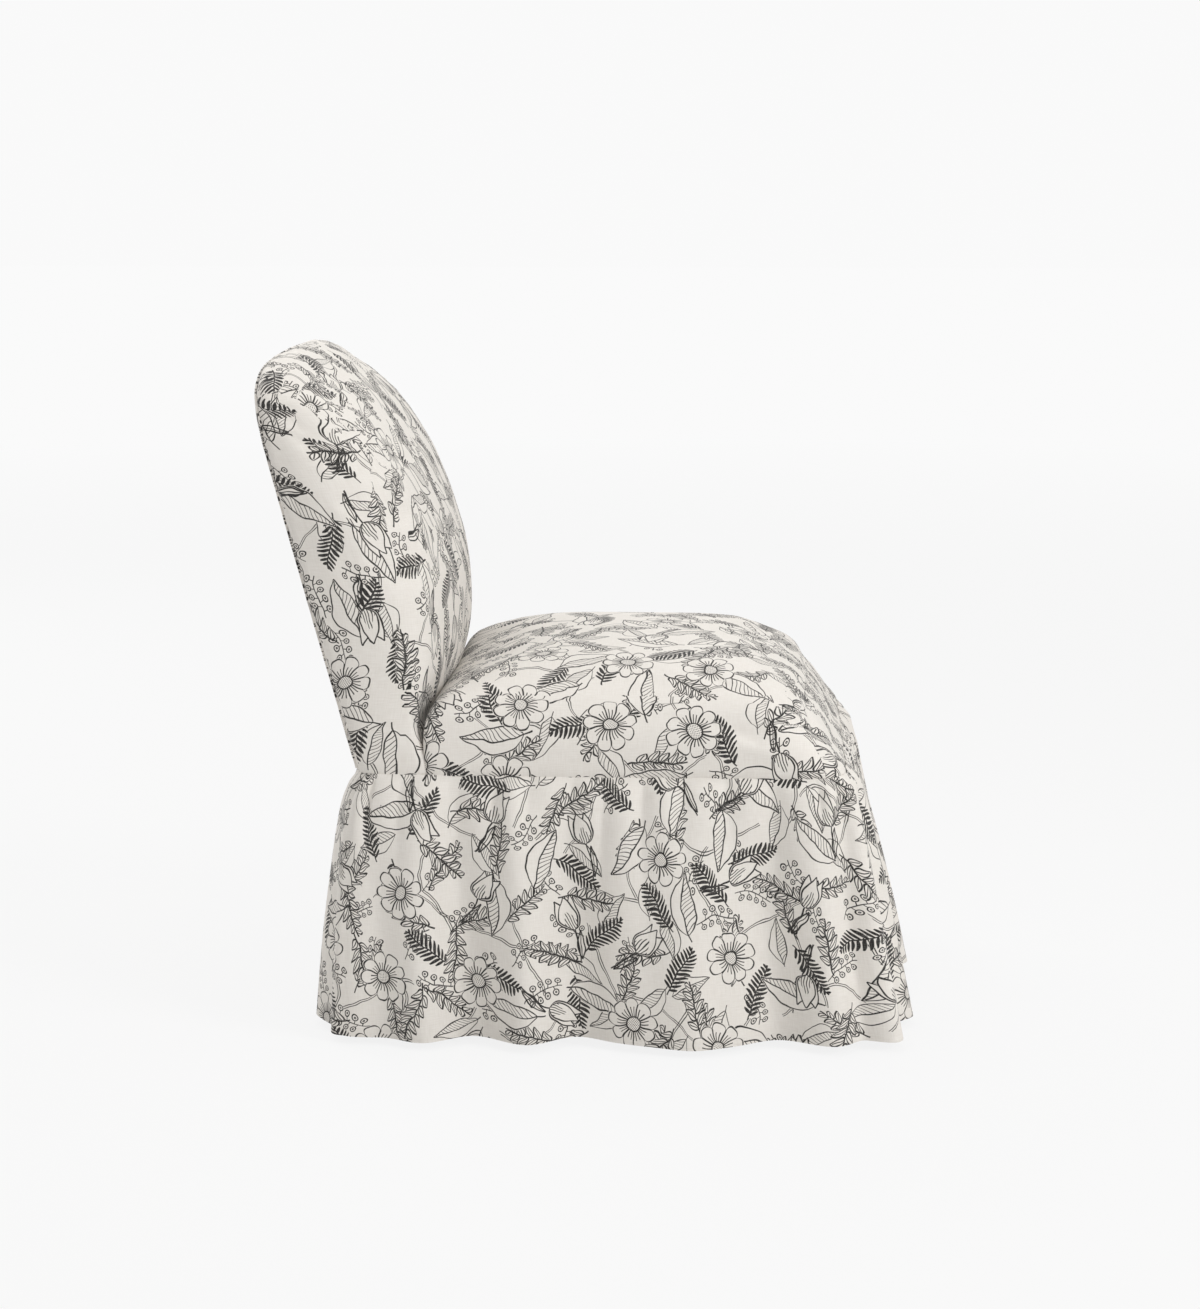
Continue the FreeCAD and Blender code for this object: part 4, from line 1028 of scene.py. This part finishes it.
def ring_place(share, half, front, rear, front_corner, rear_corner):
    """A point and its outward direction at a share of the way round, from the left side's middle."""
    quarter = int(share * 4) % 4
    local = share * 4 - int(share * 4)
    radius = rear_corner if quarter < 2 else front_corner
    sx = 1 if quarter in (0, 3) else -1
    sy = 1 if quarter < 2 else -1
    reach = rear if sy > 0 else front
    on_side = quarter in (0, 2)
    lead = (SIDE_PART if on_side else FRONT_PART) / QUARTER_PART
    corner = CORNER_PART / QUARTER_PART
    cx, cy = sx * (half - radius), sy * (reach - radius)
    if lead <= local < lead + corner:
        angle = (quarter + (local - lead) / corner) * math.pi / 2
        way = (math.cos(angle), math.sin(angle))
        return (cx + radius * way[0], cy + radius * way[1]), way
    run = local / lead
    if local > lead:
        run = (1 - local) / (1 - lead - corner)
        on_side = not on_side
    middle = (rear - front) / 2
    if on_side:
        return (sx * half, middle + (cy - middle) * run), (sx, 0)
    return (cx * run, sy * reach), (0, sy)


def skirt_miss(found, side, place):
    """How far a point is from a place along a side; a point of another side is far off."""
    (x, y), (wx, wy) = found
    facing = {"left": wx, "right": -wx, "rear": wy, "front": -wy}[side]
    along = y if side in ("left", "right") else x
    return abs(along - place) + (0 if facing > 0.7 else 1000)


def share_at(side, place):
    """The share of the way round, at the hem, of a place along a side in millimetres."""
    level = smooth_table(SKIRT_LEVELS, SKIRT_HEM)
    corners = (HEM_CORNER, HEM_CORNER)
    steps = [number / RING_STEPS for number in range(RING_STEPS)]
    return min(steps, key=lambda share: skirt_miss(ring_place(share, *level, *corners), side, place))


print("skirt levels", len(SKIRT_LEVELS), "from", SKIRT_TOP, "to", SKIRT_HEM, "mm")

# %% [markdown]
# On that line come broad folds, as wide cloth makes them. Each is a place along a side and how far
# the hem stands out there, in millimetres. The right side's folds are where the photograph shows
# them, and the other sides have folds of the same kind. Small gathers start at the seam, where
# the thread pulls the cloth together, and fade as they run down. They are many, so chance sets
# them, with a seed that keeps them the same in each run.

# %% folds and gathers
FOLDS = {
    "right": [(305, 4), (255, -8), (203, 13), (142, -17), (72, 23), (14, -15), (-40, 6), (-88, 19),
              (-136, 28), (-186, 6), (-238, -20), (-306, 10), (-350, -10)],
    "front": [(-284, 22), (-232, -15), (-172, 20), (-112, -16), (-52, 17), (14, -14), (76, 24),
              (142, -15), (204, 16), (262, -10), (292, 12)],
    "left": [(-340, -9), (-292, 12), (-232, -16), (-160, 25), (-96, -10), (-30, 18), (26, -15),
             (92, 20), (152, -12), (214, 14), (272, -6), (304, 4)],
    "rear": [(282, 8), (226, -12), (166, 18), (104, -15), (38, 19), (-24, -12), (-92, 20),
             (-150, -14), (-208, 15), (-262, -6), (-288, 8)],
}
# How much of a fold there is at a share of the way down.
FOLD_GROWTH = [(0, 0.0), (0.04, 0.08), (0.15, 0.3), (0.4, 0.62), (0.7, 0.88), (1, 1.0)]

fold_rows = sorted(
    (share_at(side, place), height) for side, places in FOLDS.items() for place, height in places
)
fold_rows = [(s - 1, h) for s, h in fold_rows[-2:]] + fold_rows + [(s + 1, h) for s, h in fold_rows[:2]]
print("folds", len(fold_rows))


def make_gathers():
    """Ridges along the seam: place, half width, height, and how far down each one runs."""
    chance = random.Random(11)
    ridges, place = [], 0.0
    while place < 1:
        width = chance.uniform(0.0075, 0.0125)
        ridges.append((place + width, width, chance.uniform(4.5, 11.5), chance.uniform(0.35, 1.0)))
        place += 2 * width * chance.uniform(0.92, 1.18)
    return ridges


GATHERS = make_gathers()
print("gathers", len(GATHERS))

# %% [markdown]
# The skirt's print is laid on the flat grid, before each vertex moves to its place on the ring.
# So the print is gathered with the cloth, as on the real skirt. The rows lie closer together near
# the seam, where the gathers are. The first and last columns then meet and are merged.

# %% skirt
COLUMNS = 760
ROWS = 46
CLOTH_WIDTH = 2.80
CLOTH_DROP = 0.345
SKIRT_THICK = 0.0022
SEAM_CROWDING = 1.3
GATHER_BASE = 3.2
MERGE_DISTANCE = 0.00001


def gather_height(share, depth):
    """How far the gathers stand out at a share of the way round and a share of the way down."""
    total = 0.0
    for place, width, height, run in GATHERS:
        if depth > run:
            continue
        centre = place + 0.004 * math.sin(place * 60) * depth
        off = abs((share - centre + 0.5) % 1.0 - 0.5) / (width * (1 + 0.5 * depth))
        if off < 1:
            rise = min(1.0, 0.4 + depth / 0.08)
            fade = (1 - depth / run) ** 1.2
            total += height * rise * fade * (1 - off * off) ** 1.3
    return total - GATHER_BASE


def shape_skirt(skirt):
    """Moves each vertex of the flat grid to its place on the gathered ring."""
    folds, lines = {}, {}
    for vertex in skirt.data.vertices:
        share = (vertex.co.x + 1) / 2
        depth = (1 - (vertex.co.y + 1) / 2) ** SEAM_CROWDING
        z = SKIRT_TOP + (SKIRT_HEM - SKIRT_TOP) * depth
        if z not in lines:
            lines[z] = (*smooth_table(SKIRT_LEVELS, z), smooth_table(FOLD_GROWTH, depth)[0])
        half, front, rear, growth = lines[z]
        corner_share = depth ** 0.7
        corners = [corner + (HEM_CORNER - corner) * corner_share for corner in SEAM_CORNERS]
        (x, y), (wx, wy) = ring_place(share % 1.0, half, front, rear, *corners)
        if share not in folds:
            folds[share] = smooth_table(fold_rows, share)[0]
        push = folds[share] * growth + gather_height(share % 1.0, depth) * min(1.0, 0.3 + depth / 0.05)
        lift = 1.5 * math.sin(share * 41 + 1) * depth ** 3
        y = bowed(x, y, half, -front, rear, SEAT_FRONT_BOW * LOW_BOW * (1 - depth)) if y < 0 else y
        vertex.co = Vector((x + wx * push, y + wy * push, z + lift)) / 1000


def skirt_uv(skirt):
    """Lays the print on the flat grid, before the grid becomes a ring."""
    layer = new_uv_map(skirt.data)
    for loop in skirt.data.loops:
        x, y, _ = skirt.data.vertices[loop.vertex_index].co
        depth = (1 - (y + 1) / 2) ** SEAM_CROWDING
        layer.data[loop.index].uv = ((x + 1) / 2 * CLOTH_WIDTH + 2.7, 0.5 - depth * CLOTH_DROP)


skirt = new_primitive("gathered_skirt", add_grid, x_subdivisions=COLUMNS, y_subdivisions=ROWS, size=2)
skirt_uv(skirt)
shape_skirt(skirt)
bpy.ops.object.mode_set(mode="EDIT")
bpy.ops.mesh.select_all(action="SELECT")
bpy.ops.mesh.remove_doubles(threshold=MERGE_DISTANCE)
bpy.ops.object.mode_set(mode="OBJECT")
skirt_area = sum(face.area for face in skirt.data.polygons)
apply_modifier(skirt, "SOLIDIFY", thickness=SKIRT_THICK, offset=-1)
bpy.ops.object.shade_smooth_by_angle(angle=math.radians(60))
skirt.data.materials.append(linen)
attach(skirt, "root")
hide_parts("skirt_front", "skirt_left", "skirt_rear", "skirt_right", "skirt_tack_strip")
print("skirt area", round(skirt_area, 4), "flat", round(CLOTH_WIDTH * CLOTH_DROP, 4))

# %% [markdown]
# Under the cloth are the pieces of the CAD model: beech rails and legs, springs, webbing, a dust
# cover and glides. They keep their shape and get finishes here. Each could have its own nodes, but
# one node group gives the uneven tone that they share. It is stretched along the grain for wood.

# %% finishes of the frame
def mottle_group():
    """A coarse and a fine unevenness, stretched by a vector scale."""
    inputs = [("Vector", "NodeSocketVector"), ("Stretch", "NodeSocketVector")]
    outputs = [("Tone", "NodeSocketFloat"), ("Fine", "NodeSocketFloat")]
    group, net, given, out = new_group("uneven tone", inputs, outputs)
    scaled = net.vec("MULTIPLY", given["Vector"], given["Stretch"])
    for name, scale, detail in (("Tone", 1.0, 3.0), ("Fine", 7.0, 2.0)):
        net.feed(out[name], net.noise(scaled, scale, detail, "3D")[0])
    return group


mottle = mottle_group()


def finish(name, light, dark, roughness, stretch, bumps=0.2, metallic=0.0, depth=0.0006):
    """A material whose two tones and bumps follow the uneven tone on Object coordinates."""
    made, net, shader = new_material(name, roughness)
    place = net.node("TexCoord")["Object"]
    uneven = net.place(mottle, Vector=place, Stretch=stretch)
    share = net.held(net.muladd(uneven["Tone"], 3.0, -1.0))
    net.feed(shader["Base Color"], mix_colours(net, share, light, dark))
    height = net.add(uneven["Tone"], uneven["Fine"])
    net.feed(shader["Normal"], net.node("Bump", Strength=bumps, Distance=depth, Height=height)[0])
    net.feed(shader["Roughness"], net.muladd(uneven["Fine"], 0.25, roughness - 0.12))
    shader["Metallic"].default_value = metallic
    return made


def woven(name, light, dark, pitch, axes):
    """A woven strap or sheet on Object coordinates, along two of its axes."""
    made, net, shader = new_material(name, 0.9)
    place = net.node("TexCoord")["Object"]
    split = net.parts(place)
    flat = net.vector(split[axes[0]], split[axes[1]])
    threads = net.place(weave, Vector=flat, Pitch=pitch)
    share = net.held(net.muladd(threads["Tone"], 3.0, -1.0))
    net.feed(shader["Base Color"], mix_colours(net, share, light, dark))
    relief = net.node("Bump", Strength=0.5, Distance=pitch * 0.5, Height=threads["Height"])[0]
    net.feed(shader["Normal"], relief)
    return made


BEECH = ((0.58, 0.37, 0.20), (0.44, 0.26, 0.13))
ALONG_X, ALONG_Y, ALONG_Z = (8, 130, 130), (130, 8, 130), (130, 130, 8)
FINISHES = {
    "beech_across": finish("beech_across", *BEECH, 0.5, ALONG_X),
    "beech_along": finish("beech_along", *BEECH, 0.5, ALONG_Y),
    "beech_upright": finish("beech_upright", *BEECH, 0.5, ALONG_Z),
    "dowel": finish("dowel_wood", (0.62, 0.45, 0.27), (0.5, 0.34, 0.19), 0.6, ALONG_Y),
    "steel": finish("spring_steel", (0.42, 0.42, 0.43), (0.26, 0.26, 0.27), 0.35, (60, 60, 60), 0.05, 1.0),
    "nylon": finish("nylon", (0.02, 0.02, 0.021), (0.012, 0.012, 0.012), 0.45, (300, 300, 300), 0.05),
    "board": finish("fibre_board", (0.36, 0.24, 0.13), (0.27, 0.17, 0.09), 0.85, (260, 260, 260), 0.3),
    "dust": woven("dust_cloth", (0.012, 0.012, 0.012), (0.006, 0.006, 0.006), 0.0012, (0, 1)),
    "deck": woven("deck_cloth", (0.70, 0.67, 0.59), (0.6, 0.57, 0.5), 0.001, (0, 1)),
    "jute": woven("jute_webbing", (0.42, 0.27, 0.13), (0.30, 0.18, 0.08), 0.003, (0, 2)),
}
# The CAD nodes of each finish, by the start of their names. The first finish that fits is taken.
NODES_OF = {
    "beech_across": "seat_rail_front seat_rail_rear back_top_rail back_lumbar_rail corner_block",
    "beech_along": "seat_rail",
    "beech_upright": "front_leg rear_post",
    "dowel": "rail_dowels back_dowels",
    "steel": "seat_spring spring_clips stay_wires block_screws dust_cover_staples",
    "nylon": "glide",
    "board": "skirt_tack_strip back_stiffener_board",
    "dust": "dust_cover",
    "deck": "spring_deck",
    "jute": "back_cross_straps back_upright_straps",
}


def finish_of(node):
    for name, starts in NODES_OF.items():
        if node.startswith(tuple(starts.split())):
            return FINISHES[name]
    return linen


dressed = 0
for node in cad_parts:
    thing = bpy.data.objects.get(node)
    if thing is None:
        continue
    if not thing.data.materials:
        thing.data.materials.append(None)
    for number in range(len(thing.data.materials)):
        thing.data.materials[number] = finish_of(node)
    dressed += 1
print("CAD nodes dressed", dressed)
